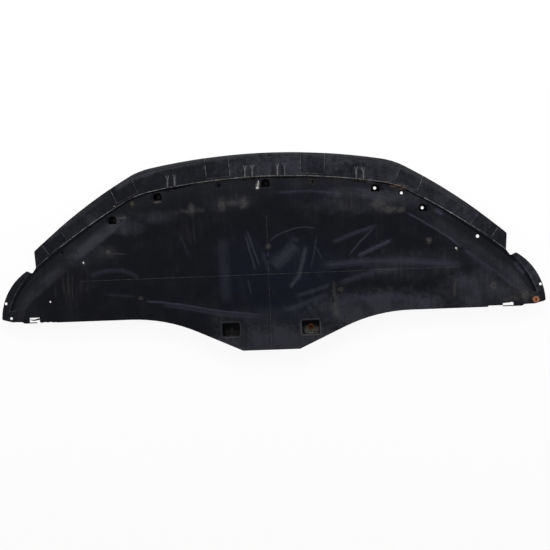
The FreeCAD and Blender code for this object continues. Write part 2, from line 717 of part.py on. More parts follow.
# Right clip slot with a torn front side, and the strip of the rear edge that is gone beside it
right_start = f"({TIP} - Sizes.right_slot_inset - Sizes.slot_width / 2)"
right_end = f"({right_start} + Sizes.slot_width)"
right_front = f"({behind('right_slot_setback')})"
right_slot = outline("right_slot_line", [
    (right_start, SLOT_REAR),
    (right_end, SLOT_REAR),
    (right_end, f"{right_front} - Sizes.slot_tooth"),
    (f"{right_end} - Sizes.slot_tooth", right_front),
    (f"{right_end} - 3 * Sizes.slot_tooth", right_front),
    (f"{right_end} - 4 * Sizes.slot_tooth", f"{right_front} - Sizes.slot_tooth / 2"),
    (right_start, f"{right_front} - Sizes.slot_tooth"),
], BELOW)
cuts.append(prism("right_slot_break", right_slot, RIGHT_THROUGH))
cuts.append(block("right_broken_strip", f"{right_start} - Sizes.broken_strip_width", PAST_REAR, BELOW,
                  "Sizes.broken_strip_width",
                  f"{behind('rear_setback')} + Sizes.broken_strip_depth - {PAST_REAR}", RIGHT_THROUGH))

# Ragged edge beside the left slot: how far along and how deep each of its points is
TEETH = [(0, 0.9), (0.15, 0.3), (0.3, 1), (0.5, 0.5), (0.65, 0.9), (0.85, 0.2), (1, 0.5)]
ragged_line = outline("left_ragged_line", [
    (left_end, PAST_REAR),
    (f"{left_end} + Sizes.ragged_length", PAST_REAR),
    *((f"{left_end} + {along} * Sizes.ragged_length",
       f"{behind('rear_setback')} + {depth} * Sizes.ragged_depth") for along, depth in TEETH[::-1]),
], BELOW)
cuts.append(prism("left_ragged_edge", ragged_line, RIGHT_THROUGH))

# Split beside the middle pocket, torn wider at both of its ends
lean_x = "Sizes.split_length / 2 * sin(Sizes.split_lean)"
lean_y = "Sizes.split_length / 2 * cos(Sizes.split_lean)"
split_y = behind("split_setback")
cuts.append(block("split", f"-Sizes.split_x - {lean_x} - Sizes.split_width / 2", f"{split_y} - {lean_y}",
                  BELOW, "Sizes.split_width", "Sizes.split_length", RIGHT_THROUGH,
                  FreeCAD.Vector(0, 0, 1), "-Sizes.split_lean"))
cuts.append(pin("split_end", f"-Sizes.split_x - {lean_x}", f"{split_y} - {lean_y}", "Sizes.split_hole"))
cuts.append(pin("split_mouth", f"-Sizes.split_x + {lean_x}", f"{split_y} + {lean_y}", "Sizes.split_mouth"))

# The tray: road side less hidden side, with everything raised and cut
hollow = cut("hollow", inner_block, group("Part::MultiFuse", "pocket_backs", backs))
skin = cut("skin", road_block, hollow)
full_skin = group("Part::MultiFuse", "full_skin", [skin, *raised])
tray = cut("front_undertray", full_skin, group("Part::MultiFuse", "all_cuts", cuts))


def seized_screw(name, x, y, seat, slot_x, slot_y):
    """A washer-head screw rusted into its hole, sheared off flush with the far side of the wall."""
    head = drum(f"{name}_head", "0", "0", "0", "Sizes.screw_head", "Sizes.screw_head_height")
    shank = drum(f"{name}_shank", "0", "0", "-Sizes.wall", "Sizes.screw_shank", "Sizes.wall + Sizes.lap")
    slot_foot = "Sizes.screw_head_height - Sizes.screw_slot_depth"
    slot = block(f"{name}_slot", f"-{slot_x} / 2", f"-{slot_y} / 2", slot_foot, slot_x, slot_y,
                 "Sizes.screw_head_height")
    screw = cut(name, group("Part::MultiFuse", f"{name}_blank", [head, shank]), slot)
    return place(screw, x, y, seat)


nodes = [
    tray,
    seized_screw("wing_screw", half_width("wing_corner_hole"), behind("wing_corner_hole_setback"),
                 "Sizes.lip_height", "Sizes.screw_slot_width", "Sizes.screw_slot_length"),
    seized_screw("pocket_screw", "Sizes.rear_pocket_x", behind("rear_pocket_setback"),
                 "Sizes.wall", "Sizes.screw_slot_length", "Sizes.screw_slot_width"),
]

doc.recompute()
failed = [item.Name for item in doc.Objects if "Invalid" in item.State or "Error" in item.State]
if failed:
    raise RuntimeError(f"failed objects: {failed}")
for node in nodes:
    if node.Shape.isNull() or not node.Shape.isValid():
        raise RuntimeError(f"bad shape: {node.Label}")
    print(node.Label, "solids", len(node.Shape.Solids), "volume", round(node.Shape.Volume))
    node.Shape.exportStep(f"parts/{node.Label}.step")
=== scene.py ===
# %% [markdown]
# # A worn front bumper undertray
# The object is one large black moulding that bolts under the nose of a car, photographed road side up.
# Its shape is settled already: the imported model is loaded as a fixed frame, in metres, and nothing here
# moves it. This lesson adds what the frame lacks: softened edges, years of dust, scuffs, wiped patches and
# rust, on nothing but mesh operators and shader nodes.

# %% Load the frame
import math
from types import SimpleNamespace

import bmesh
import bpy
from mathutils import Matrix, Vector


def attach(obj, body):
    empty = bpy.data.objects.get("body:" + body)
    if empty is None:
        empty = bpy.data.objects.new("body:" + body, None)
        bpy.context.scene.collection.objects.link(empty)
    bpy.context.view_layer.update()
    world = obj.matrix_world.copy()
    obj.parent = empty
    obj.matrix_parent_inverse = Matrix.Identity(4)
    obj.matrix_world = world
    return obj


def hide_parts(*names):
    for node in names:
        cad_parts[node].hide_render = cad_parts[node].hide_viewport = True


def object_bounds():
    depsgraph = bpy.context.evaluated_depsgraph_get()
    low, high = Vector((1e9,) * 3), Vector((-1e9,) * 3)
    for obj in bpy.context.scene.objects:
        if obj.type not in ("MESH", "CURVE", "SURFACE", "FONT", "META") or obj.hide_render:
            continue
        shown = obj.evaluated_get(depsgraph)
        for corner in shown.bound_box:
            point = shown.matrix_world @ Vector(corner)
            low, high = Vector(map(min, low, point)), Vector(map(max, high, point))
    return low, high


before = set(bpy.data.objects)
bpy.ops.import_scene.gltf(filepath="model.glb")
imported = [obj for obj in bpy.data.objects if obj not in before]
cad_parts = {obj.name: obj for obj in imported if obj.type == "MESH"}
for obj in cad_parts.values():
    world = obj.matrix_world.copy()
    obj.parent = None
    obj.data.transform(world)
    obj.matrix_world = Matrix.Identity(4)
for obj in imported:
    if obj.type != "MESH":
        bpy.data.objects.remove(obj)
cad_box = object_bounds()
scene = bpy.context.scene
scene.view_settings.view_transform = "Standard"
print("nodes", sorted(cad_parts))

# %% [markdown]
# ## The camera
# The tray is seen almost square on from above. A camera could be aimed by eye, but the places of bolt holes
# in the picture give its turn, tilt and roll directly, so these are written as plain angles. The camera sits
# on the end of a long arm over the point in the middle of the picture.

# %% Camera over the tray
PICTURE_PIXELS = 550
FOCAL_PIXELS = 1002.3
SENSOR_WIDTH = 36
CAMERA_AIM = Vector((0.0184, -0.0717, 0.03))
CAMERA_ARM = 3.0
CAMERA_YAW = math.radians(2.86)
CAMERA_PITCH = math.radians(-1.34)
CAMERA_ROLL = math.radians(-2.26)

turn = Matrix.Rotation(CAMERA_YAW, 4, "Y") @ Matrix.Rotation(CAMERA_PITCH, 4, "X")
turn = turn @ Matrix.Rotation(CAMERA_ROLL, 4, "Z")
camera_data = bpy.data.cameras.new("camera")
camera_data.sensor_width = SENSOR_WIDTH
camera_data.lens = FOCAL_PIXELS / PICTURE_PIXELS * SENSOR_WIDTH
camera = bpy.data.objects.new("camera", camera_data)
camera.matrix_world = Matrix.Translation(CAMERA_AIM) @ turn @ Matrix.Translation((0, 0, CAMERA_ARM))
scene.collection.objects.link(camera)
scene.camera = camera
print("camera at", [round(value, 3) for value in camera.matrix_world.translation])

# %% [markdown]
# ## Node helpers
# Every finish below is a net of shader nodes. Writing each node and link in full would bury the idea, so a
# few helpers do the wiring: a value that is a socket is linked, and any other value is typed in.

# %% Helpers for node trees
def feed(tree, socket, value):
    """Link a socket to another one, or type a plain value into it."""
    if isinstance(value, bpy.types.NodeSocket):
        tree.links.new(value, socket)
    else:
        socket.default_value = value


def add(tree, kind, inputs=None, **settings):
    """Add a node, set its properties and feed its inputs by name or number."""
    node = tree.nodes.new(kind)
    for name, value in settings.items():
        setattr(node, name, value)
    for name, value in (inputs or {}).items():
        feed(tree, node.inputs[name], value)
    return node


def calc(tree, operation, *values, clamp=False):
    """One math node; returns its output."""
    node = add(tree, "ShaderNodeMath", dict(enumerate(values)), operation=operation, use_clamp=clamp)
    return node.outputs[0]


def vector_calc(tree, operation, *values, output="Vector"):
    """One vector math node; returns its vector or its value."""
    node = add(tree, "ShaderNodeVectorMath", dict(enumerate(values)), operation=operation)
    return node.outputs[output]


def fade(tree, value, start, end, low=0.0, high=1.0):
    """A smooth change from low to high while a value goes from start to end."""
    inputs = {"Value": value, "From Min": start, "From Max": end, "To Min": low, "To Max": high}
    node = add(tree, "ShaderNodeMapRange", inputs, interpolation_type="SMOOTHSTEP", clamp=False)
    return node.outputs["Result"]


def blend(tree, factor, first, second):
    """Mix two colours by a mask."""
    node = add(tree, "ShaderNodeMix", data_type="RGBA")
    for name, value in (("Factor_Float", factor), ("A_Color", first), ("B_Color", second)):
        feed(tree, next(socket for socket in node.inputs if socket.identifier == name), value)
    return next(socket for socket in node.outputs if socket.identifier == "Result_Color")


def noise(tree, place, scale, detail=2.0, roughness=0.5, stretch=(1, 1, 1)):
    """Fractal noise over a place, stretched along its axes; returns values around one half."""
    stretched = vector_calc(tree, "MULTIPLY", place, stretch)
    inputs = {"Vector": stretched, "Scale": scale, "Detail": detail, "Roughness": roughness}
    return add(tree, "ShaderNodeTexNoise", inputs).outputs["Fac"]


def new_group(name, inputs, outputs):
    """A shader node group with named sockets; returns the tree, its inputs and its output node."""
    tree = bpy.data.node_groups.new(name, "ShaderNodeTree")
    for title, (kind, value) in inputs.items():
        socket = tree.interface.new_socket(title, in_out="INPUT", socket_type=kind)
        socket.default_value = value
    for title, kind in outputs.items():
        tree.interface.new_socket(title, in_out="OUTPUT", socket_type=kind)
    given = tree.nodes.new("NodeGroupInput")
    return tree, given.outputs, tree.nodes.new("NodeGroupOutput")


def use(tree, shared, inputs):
    """Place a shared group in a tree and feed it; returns its outputs."""
    return add(tree, "ShaderNodeGroup", inputs, node_tree=shared).outputs


FLOAT = "NodeSocketFloat"
VECTOR = "NodeSocketVector"
print("node helpers ready")

# %% [markdown]
# ## The moulding with softened edges
# A moulded part has no knife edges, and its worn edges are what the eye reads first. The frame's mesh is
# loose triangles with sharp corners. A bump trick could round them for the shader alone, but a real narrow
# bevel catches light from every side, so each node is copied, welded, its flat faces are joined, and every
# outward edge is rounded. The faces that the bevel makes are remembered as "edge", because wear goes there.

# %% Weld and soften a copy of a node
WELD = 2e-6
FLAT_ANGLE = math.radians(0.05)
SHARP_ANGLE = math.radians(18)
EDGE_STEPS = 2
ZONES = ("edge", "lip", "seat", "rub_and_highlight", "hidden")


def welded_copy(node):
    """Welded mesh of a node, with its flat faces joined and its zones still to be filled."""
    shape = bmesh.new()
    shape.from_mesh(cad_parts[node].data)
    for name in ZONES:
        shape.faces.layers.float.new(name)
    bmesh.ops.remove_doubles(shape, verts=shape.verts, dist=WELD)
    bmesh.ops.dissolve_limit(shape, angle_limit=FLAT_ANGLE, use_dissolve_boundaries=False,
                             verts=shape.verts, edges=shape.edges)
    return shape


def soften(shape, softness, heights=(-1, 1)):
    """Round the outward edges between two heights that are still sharp, and mark the new faces."""
    edge_zone = shape.faces.layers.float["edge"]
    outward = []
    for edge in shape.edges:
        middle = (edge.verts[0].co.z + edge.verts[1].co.z) / 2
        sharp = edge.is_manifold and edge.is_convex and edge.calc_face_angle() > SHARP_ANGLE
        fresh = not any(face[edge_zone] for face in edge.link_faces)
        if sharp and fresh and heights[0] < middle < heights[1]:
            outward.append(edge)
    made = bmesh.ops.bevel(shape, geom=outward, offset=softness, offset_type="OFFSET", segments=EDGE_STEPS,
                           profile=0.5, affect="EDGES", clamp_overlap=False, material=-1)["faces"]
    for face in made:
        face[edge_zone] = 1
    print("edges rounded", len(outward))


def place_piece(shape, title, node=None):
    """Turn an open mesh into a piece that rides on the body, with even shading; returns its object."""
    for face in shape.faces:
        face.smooth = True
    for edge in shape.edges:
        inward = edge.is_manifold and not edge.is_convex
        edge.smooth = not (inward and edge.calc_face_angle() > SHARP_ANGLE)
    mesh = bpy.data.meshes.new(title)
    shape.to_mesh(mesh)
    shape.free()
    piece = bpy.data.objects.new(title, mesh)
    scene.collection.objects.link(piece)
    even = piece.modifiers.new("even normals", "WEIGHTED_NORMAL")
    even.keep_sharp = True
    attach(piece, "root")
    if node:
        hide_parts(node)
    print(title, "faces", len(mesh.polygons))
    return piece


print("softening helpers ready for", len(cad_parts), "nodes")

# %% [markdown]
# ## Zones of the moulding
# The lip lies level and is scuffed, and the sloping sides of its ribs count as lip. Its clip seats are
# cleaner, and the hidden side never saw the road. The edges at the height of the lip are rounder than the
# rest. Some of them are made pale, but not the long sides of the seats: the ends of the seats by rubbing, and
# the step behind the lip and the ribs partly by rubbing and partly as painted highlights where those edges
# catch the light. The shader could guess all this from height and slope, but a face attribute says it
# exactly. Heights are in metres, and slopes are the upward share of a face's normal.

# %% Rules for the zones
LIP_SOFTNESS = 0.0009
PANEL_SOFTNESS = 0.0005
LIP_EDGES = (0.0262, 0.0330)
LIP_RANGE = (0.0245, 0.0286)
SEAT_LEVEL = 0.0255
LEVEL_NORMAL = 0.9995
HIDDEN_NORMAL = -0.05
STEEP_NORMAL = 0.9
SLOPE_NORMAL = 0.3
STEP_FOOT = 0.0240
STEP_EDGE = 0.0272
RIB_LEVEL = 0.0292
RIB_RANGE = (0.0258, 0.0328)
WING_START = 0.70
LIP_CENTRE = Vector((0, -0.55, 0))
SIDEWAYS = 0.5
# The step and the ribs are pale partly from rubbing and partly as painted highlights.
RUB_AND_HIGHLIGHT = {"step": 1.0, "rib": 0.32, "seat_end": 0.5, "plain": 0.12, "bare": 0.0}
WING_RUB_AND_HIGHLIGHT = 0.15


def on_lip(face):
    """True for the level faces of the lip, its seats and its roll."""
    return face.normal.z > LEVEL_NORMAL and LIP_RANGE[0] < face.calc_center_median().z < LIP_RANGE[1]


def on_rib(face):
    """True for the sloping sides of the ribs and of the roll, which rise from the lip."""
    heights = [corner.co.z for corner in face.verts]
    return face.normal.z > SLOPE_NORMAL and RIB_RANGE[0] < min(heights) and max(heights) < RIB_RANGE[1]


def beside(face, edge_zone):
    """Faces on both sides of a rounded edge, seen past the other faces of its rounding."""
    rounding = {face} | {other for edge in face.edges for other in edge.link_faces if other[edge_zone]}
    near = {other for part in rounding for edge in part.edges for other in edge.link_faces}
    return [other for other in near if not other[edge_zone]]


def rub_and_highlight_of(face, edge_zone):
    """How pale a rounded edge of the lip is made, by rubbing and by a painted highlight,
    from its height, its neighbours and its direction.
    """
    centre = face.calc_center_median()
    near = beside(face, edge_zone)
    walls = [other for other in near if other.normal.z < STEEP_NORMAL]
    foot = min((corner.co.z for wall in walls for corner in wall.verts), default=centre.z)
    outward = ((centre - LIP_CENTRE) * Vector((1, 1, 0))).normalized()
    sideways = abs((face.normal * Vector((1, 1, 0))).normalized().dot(outward)) < SIDEWAYS
    if centre.z > RIB_LEVEL:
        kind = "rib" if any(on_rib(other) for other in near) else "bare"
    elif not any(on_lip(other) for other in near):
        kind = "bare"
    elif centre.z < STEP_EDGE and foot < STEP_FOOT:
        kind = "step"
    else:
        kind = "seat_end" if sideways else "plain"
    return RUB_AND_HIGHLIGHT[kind] * (WING_RUB_AND_HIGHLIGHT if abs(centre.x) > WING_START else 1)


print("kinds of rubbed edge", sorted(RUB_AND_HIGHLIGHT))

# %% [markdown]
# The copy is softened in two passes, the rounder edges of the lip first. The second pass could take every
# edge, but it leaves alone what is already rounded. Then each face is given its zones.

# %% Mark the zones of the tray
moulding = welded_copy("front_undertray")
soften(moulding, LIP_SOFTNESS, LIP_EDGES)
soften(moulding, PANEL_SOFTNESS)
zones = {name: moulding.faces.layers.float[name] for name in ZONES}
for face in moulding.faces:
    height = face.calc_center_median().z
    level = on_lip(face)
    if face[zones["edge"]] and LIP_EDGES[0] - LIP_SOFTNESS < height < LIP_EDGES[1]:
        face[zones["rub_and_highlight"]] = rub_and_highlight_of(face, zones["edge"])
    face[zones["lip"]] = level or on_rib(face)
    face[zones["seat"]] = level and height < SEAT_LEVEL
    face[zones["hidden"]] = face.normal.z < HIDDEN_NORMAL
tray = place_piece(moulding, "tray_moulding", "front_undertray")

# %% [markdown]
# ## Mud in a bolt seat
# The left shoulder seat is filled with dried mud, so no light comes up through its hole. It could be only a
# colour, but a hole can't be painted shut. A low round cake is set into the seat, with a rounded rim.

# %% Mud cake
MUD_PLACE = Vector((-0.404, 0.158, 0.0220))
MUD_RADIUS = 0.0082
MUD_THICKNESS = 0.0012
MUD_SOFTNESS = 0.0004
MUD_SIDES = 40
MUD_TAPER = 0.9

mud = bmesh.new()
middle = Matrix.Translation(MUD_PLACE + Vector((0, 0, MUD_THICKNESS / 2)))
bmesh.ops.create_cone(mud, cap_ends=True, segments=MUD_SIDES, radius1=MUD_RADIUS,
                      radius2=MUD_RADIUS * MUD_TAPER, depth=MUD_THICKNESS, matrix=middle)
rim = [edge for edge in mud.edges if edge.calc_face_angle() > SHARP_ANGLE]
bmesh.ops.bevel(mud, geom=rim, offset=MUD_SOFTNESS, offset_type="OFFSET", segments=EDGE_STEPS,
                profile=0.5, affect="EDGES", material=-1)
mud_cake = place_piece(mud, "seat_mud")

# %% [markdown]
# ## The seized screws
# Two washer-head screws have rusted fast. Their frame solids are right in shape, and get the same rounded
# edges as the tray, so that the rims of the heads and of the worn slots catch some light.

# %% Screws
SCREW_SOFTNESS = 0.0003
screws = []
for name in ("wing_screw", "pocket_screw"):
    metal = welded_copy(name)
    soften(metal, SCREW_SOFTNESS)
    screws.append(place_piece(metal, f"rusted_{name}", name))

# %% [markdown]
# ## Shared effects
# Wiped streaks and soft patches turn up in many places, so each is a node group with named inputs. A streak
# is the zone near a straight run between two points; a patch is a soft ellipse. Both could be painted on an
# image, but as formulas they stay sharp at any size and follow the object's own coordinates. A cloth leaves
# hairlines, so two waves over its width, one bent by the other, comb each streak. Its loose ends fade away.

# %% Streak group
TIP_SHARE = 0.30
CORE_SHARE = 0.1
LEAST_WIDTH = 0.35
HAIR_DRIFT = 0.02
HAIR_PHASE = 40.0
HAIR_BEND = 2.0
HAIR_DEPTH = 0.22
HAIR_LEVEL = 0.70
COARSE_HAIR = 900.0
FINE_HAIR = 2300.0
streak, given, made = new_group("Streak", {
    "Place": (VECTOR, (0, 0, 0)), "Start": (VECTOR, (0, 0, 0)), "End": (VECTOR, (1, 0, 0)),
    "Width": (FLOAT, 0.01), "Strength": (FLOAT, 1.0), "Waver": (FLOAT, 0.5),
    "Start level": (FLOAT, 1.0), "End level": (FLOAT, 1.0)}, {"Mask": FLOAT})
run = vector_calc(streak, "SUBTRACT", given["End"], given["Start"])
reach = vector_calc(streak, "SUBTRACT", given["Place"], given["Start"])
heading = vector_calc(streak, "NORMALIZE", run)
travel = vector_calc(streak, "DOT_PRODUCT", reach, heading, output="Value")
share = calc(streak, "DIVIDE", travel, vector_calc(streak, "LENGTH", run, output="Value"))
share = calc(streak, "MINIMUM", calc(streak, "MAXIMUM", share, 0.0), 1.0)
nearest = add(streak, "ShaderNodeVectorMath", {0: run, "Scale": share}, operation="SCALE").outputs["Vector"]
aside = vector_calc(streak, "DISTANCE", reach, nearest, output="Value")
half_width = calc(streak, "MULTIPLY", given["Width"], calc(streak, "ADD", given["Waver"], LEAST_WIDTH))
mask = fade(streak, calc(streak, "DIVIDE", aside, half_width), 1.0, CORE_SHARE)
mask = calc(streak, "MULTIPLY", mask, fade(streak, share, 0.0, TIP_SHARE, given["Start level"], 1.0))
mask = calc(streak, "MULTIPLY", mask, fade(streak, share, 1.0, 1.0 - TIP_SHARE, given["End level"], 1.0))
side = vector_calc(streak, "CROSS_PRODUCT", heading, (0, 0, 1))
across = vector_calc(streak, "DOT_PRODUCT", reach, side, output="Value")
comb = calc(streak, "MULTIPLY_ADD", travel, HAIR_DRIFT, across)
phase = calc(streak, "MULTIPLY", given["Strength"], HAIR_PHASE)
coarse = calc(streak, "SINE", calc(streak, "MULTIPLY_ADD", comb, COARSE_HAIR, phase))
bend = calc(streak, "MULTIPLY", coarse, HAIR_BEND)
fine = calc(streak, "SINE", calc(streak, "MULTIPLY_ADD", comb, FINE_HAIR, bend))
hair = calc(streak, "MULTIPLY_ADD", fine, HAIR_DEPTH, HAIR_LEVEL)
hair = calc(streak, "MULTIPLY_ADD", coarse, HAIR_DEPTH, hair)
mask = calc(streak, "MULTIPLY", mask, hair)
streak.links.new(calc(streak, "MULTIPLY", mask, given["Strength"]), made.inputs["Mask"])
print("group", streak.name)

# %% Patch group
patch, given, made = new_group("Patch", {
    "Place": (VECTOR, (0, 0, 0)), "Centre": (VECTOR, (0, 0, 0)), "Size": (VECTOR, (0.1, 0.1, 1)),
    "Softness": (FLOAT, 0.7), "Strength": (FLOAT, 1.0), "Waver": (FLOAT, 0.5)}, {"Mask": FLOAT})
offset = vector_calc(patch, "SUBTRACT", given["Place"], given["Centre"])
distance = vector_calc(patch, "LENGTH", vector_calc(patch, "DIVIDE", offset, given["Size"]), output="Value")
ragged = calc(patch, "ADD", distance, calc(patch, "SUBTRACT", 0.5, given["Waver"]))
core = fade(patch, ragged, 1.0, calc(patch, "SUBTRACT", 1.0, given["Softness"]))
patch.links.new(calc(patch, "MULTIPLY", core, given["Strength"]), made.inputs["Mask"])
print("group", patch.name)

# %% [markdown]
# A field is many marks of one kind in one group. The marks are added one after another to a running largest
# value, and the groups above limit their values by plain minimum and maximum nodes, because a node's own
# clamp is worked out last: so the shader never has to hold more than one mark at a time. For the same reason
# the place that the marks read is made uneven by a noise first, which also keeps their outlines natural.

# %% Fields of marks
def field(title):
    """An empty field with its place and waver; returns its tree, its inputs and its output node."""
    return new_group(title, {"Place": (VECTOR, (0, 0, 0)), "Waver": (FLOAT, 0.5)}, {"Mask": FLOAT})


def streak_field(title, table):
    """A group with every streak of a table: width, strength and the places along it."""
    tree, given, made = field(title)
    total = 0.0
    for width, strength, places in table.values():
        for start, end in zip(places, places[1:]):
            mark = use(tree, streak, {"Place": given["Place"], "Start": (*start, 0), "End": (*end, 0),
                                      "Width": width, "Strength": strength, "Waver": given["Waver"],
                                      "Start level": 0.0 if start == places[0] else 1.0,
                                      "End level": 0.0 if end == places[-1] else 1.0})
            total = calc(tree, "MAXIMUM", mark["Mask"], total)
    tree.links.new(total, made.inputs["Mask"])
    print("field", title, "streaks", len(table))
    return tree


def patch_field(title, table, softness):
    """A group with every patch of a table: centre, size and strength."""
    tree, given, made = field(title)
    total = 0.0
    for centre, size, strength in table.values():
        mark = use(tree, patch, {"Place": given["Place"], "Centre": (*centre, 0), "Size": (*size, 1),
                                 "Softness": softness, "Strength": strength, "Waver": given["Waver"]})
        total = calc(tree, "MAXIMUM", mark["Mask"], total)
    tree.links.new(total, made.inputs["Mask"])
    print("field", title, "patches", len(table))
    return tree


print("fields take", streak.name, "and", patch.name)

# %% [markdown]
# ## Wiped strokes and crease highlights
# Somebody wiped the panel with a cloth: broad strokes cross its middle and right half, with a lobe where the
# hand turned. The strokes along the right crease, the right wing's ridge and the ramp are painted highlights
# where those edges catch the light. Each stroke is a few places along it, in metres, with its width and how
# pale it is.

# %% Cloth wipes and crease highlights on the panel
CLOTH_WIPES_AND_CREASE_HIGHLIGHTS = {
    "lobe_side": (0.012, 0.40, [(-0.017, 0.002), (-0.007, -0.032), (0.001, -0.062)]),
    "lobe_back": (0.034, 0.70, [(0.012, -0.050), (0.051, -0.014), (0.088, 0.022)]),
    "lobe_turn": (0.012, 0.45, [(0.097, 0.027), (0.068, 0.037)]),
    "upper_arc": (0.005, 0.65, [(0.005, 0.028), (0.029, 0.048), (0.057, 0.058), (0.084, 0.066),
                                (0.114, 0.068), (0.146, 0.064)]),
    "wide_pull": (0.013, 0.85, [(0.115, 0.014), (0.104, -0.030), (0.090, -0.077), (0.059, -0.115)]),
    "thin_pull": (0.004, 0.55, [(0.149, 0.046), (0.138, -0.008), (0.124, -0.064)]),
    "short_pull": (0.006, 0.50, [(0.141, 0.013), (0.163, -0.035)]),
    "left_pull_outer": (0.007, 0.65, [(-0.066, 0.054), (-0.053, 0.000), (-0.038, -0.060)]),
    "left_pull_inner": (0.007, 0.65, [(-0.061, 0.069), (-0.044, 0.012), (-0.025, -0.046)]),
    "long_smear": (0.030, 0.36, [(-0.134, 0.057), (-0.133, -0.051), (-0.129, -0.159)]),
    "low_pull": (0.006, 0.45, [(-0.065, -0.074), (-0.053, -0.132)]),
    "fan_upper": (0.012, 0.60, [(0.076, -0.137), (0.130, -0.124), (0.188, -0.105)]),
    "fan_lower": (0.014, 0.55, [(0.035, -0.180), (0.105, -0.159), (0.178, -0.131)]),
    "long_arc_upper": (0.007, 0.85, [(-0.379, -0.135), (-0.312, -0.143), (-0.240, -0.155),
                                     (-0.154, -0.173), (-0.007, -0.193)]),
    "long_arc_lower": (0.015, 0.55, [(-0.331, -0.145), (-0.241, -0.162), (-0.154, -0.181), (-0.007, -0.199)]),
    "sweep_high": (0.012, 0.60, [(0.189, 0.017), (0.253, 0.042), (0.333, 0.066)]),
    "sweep_steep": (0.006, 0.80, [(0.238, -0.023), (0.278, 0.020), (0.321, 0.060)]),
    "sweep_broad": (0.013, 1.00, [(0.262, -0.027), (0.310, -0.005), (0.375, 0.022)]),
    "sweep_long": (0.020, 0.70, [(0.154, -0.050), (0.276, -0.040), (0.418, -0.045), (0.582, -0.064)]),
    "sweep_low": (0.016, 0.60, [(0.196, -0.108), (0.319, -0.071), (0.405, -0.069)]),
    "lobe_low": (0.022, 0.55, [(0.200, -0.165), (0.254, -0.149), (0.332, -0.146), (0.417, -0.158),
                               (0.481, -0.175)]),
    "right_smear": (0.030, 0.50, [(0.569, -0.099), (0.595, -0.120), (0.623, -0.160)]),
    "left_arch": (0.012, 0.50, [(-0.539, -0.056), (-0.515, -0.045), (-0.484, -0.039), (-0.441, -0.040),
                                (-0.412, -0.052), (-0.391, -0.065)]),
    "left_steep": (0.008, 0.35, [(-0.261, 0.062), (-0.237, -0.014)]),
    "low_left": (0.008, 0.30, [(-0.502, -0.109), (-0.387, -0.122)]),
    # Painted highlights along the right crease, the wing ridge and the ramp, not wipes.
    "right_crease_highlight": (0.007, 0.80, [(0.411, 0.103), (0.467, 0.068), (0.503, 0.044), (0.545, 0.015),
                                   (0.576, -0.013)]),
    "right_crease_highlight_line": (0.004, 0.70, [(0.576, -0.013), (0.629, -0.054), (0.669, -0.083), (0.713, -0.118),
                                        (0.743, -0.142)]),
    "right_crease_highlight_broad": (0.016, 0.60, [(0.576, -0.013), (0.629, -0.058), (0.669, -0.087)]),
    "right_crease_highlight_end": (0.010, 0.60, [(0.669, -0.087), (0.713, -0.122), (0.743, -0.146)]),
    "wing_ridge_highlight": (0.012, 0.80, [(0.730, -0.056), (0.744, -0.078), (0.760, -0.098)]),
    "ramp_highlight": (0.014, 0.80, [(0.497, 0.106), (0.527, 0.088)]),
    "front_line": (0.008, 0.50, [(0.020, 0.174), (0.133, 0.175), (0.247, 0.159)]),
}
cloth_wipes_and_crease_highlights = streak_field("Cloth wipes and crease highlights", CLOTH_WIPES_AND_CREASE_HIGHLIGHTS)

# %% [markdown]
# ## Film of dust
# Dust settled on the level lip, on the sloping band behind the gutter and on the rear of the panel, more to
# the right than to the left. These are wide and soft, so ellipses do: one table for each kind of surface.
# The lip is also paler along its outer rim, and its ribs carry painted highlights: streaks that follow
# their places. The ribs stand on the step, whose middle part is one long arc, so each rib's foot comes from
# that arc.

# %% Dust on the lip, the band and the panel
LIP_FILM = {
    "centre": ((0.06, 0.262), (0.30, 0.07), 0.62),
    "right_shoulder": ((0.40, 0.210), (0.22, 0.10), 0.55),
    "right_side": ((0.52, 0.150), (0.14, 0.10), 0.35),
    "right_end": ((0.63, 0.080), (0.12, 0.10), 0.35),
    "right_wing": ((0.770, -0.085), (0.08, 0.10), 0.55),
}
BAND_FILM = {
    "left_side": ((-0.510, 0.060), (0.17, 0.11), 1.00),
    "left_wing": ((-0.690, -0.070), (0.14, 0.13), 0.42),
    "right_front": ((0.320, 0.155), (0.20, 0.05), 0.60),
    "right_side": ((0.600, 0.010), (0.20, 0.14), 0.32),
    "right_wing": ((0.735, -0.105), (0.10, 0.10), 0.70),
}
PANEL_FILM = {
    "tongue": ((0.030, -0.275), (0.30, 0.080), 0.95),
    "rear_right": ((0.330, -0.185), (0.30, 0.075), 0.90),
    "rear_middle": ((0.000, -0.200), (0.24, 0.05), 0.30),
    "far_right": ((0.620, -0.140), (0.17, 0.09), 0.60),
    "right_middle": ((0.430, -0.055), (0.25, 0.06), 0.35),
    "front_right": ((0.300, 0.135), (0.26, 0.045), 0.40),
    "left_crease": ((-0.330, 0.118), (0.09, 0.028), 0.38),
    "left_crease_end": ((-0.425, 0.088), (0.08, 0.032), 0.45),
    "left_side": ((-0.540, 0.010), (0.12, 0.06), 0.30),
    "left_front": ((-0.110, 0.150), (0.12, 0.035), 0.25),
}
OUTER_EDGE = [(0.0, 0.294), (0.105, 0.289), (0.178, 0.283), (0.300, 0.265), (0.400, 0.238), (0.460, 0.203),
              (0.620, 0.095), (0.676, 0.050)]
LIP_RIM_AND_RIB_HIGHLIGHTS = {
    "left": (0.018, 0.80, [(-x, y) for x, y in OUTER_EDGE[5::-1]]),
    "right": (0.015, 0.60, OUTER_EDGE[:7]),
    "left_side": (0.012, 0.40, [(-x, y) for x, y in OUTER_EDGE[5:]]),
}
STEP_FRONT = 0.225
STEP_RADIUS = 1.920
RIB_PAIRS = (-0.2827, -0.0487, 0.0487, 0.2827)
RIB_PITCH = 0.0215
RIB_REACH = 0.036
RIB_WIDTH = 0.008
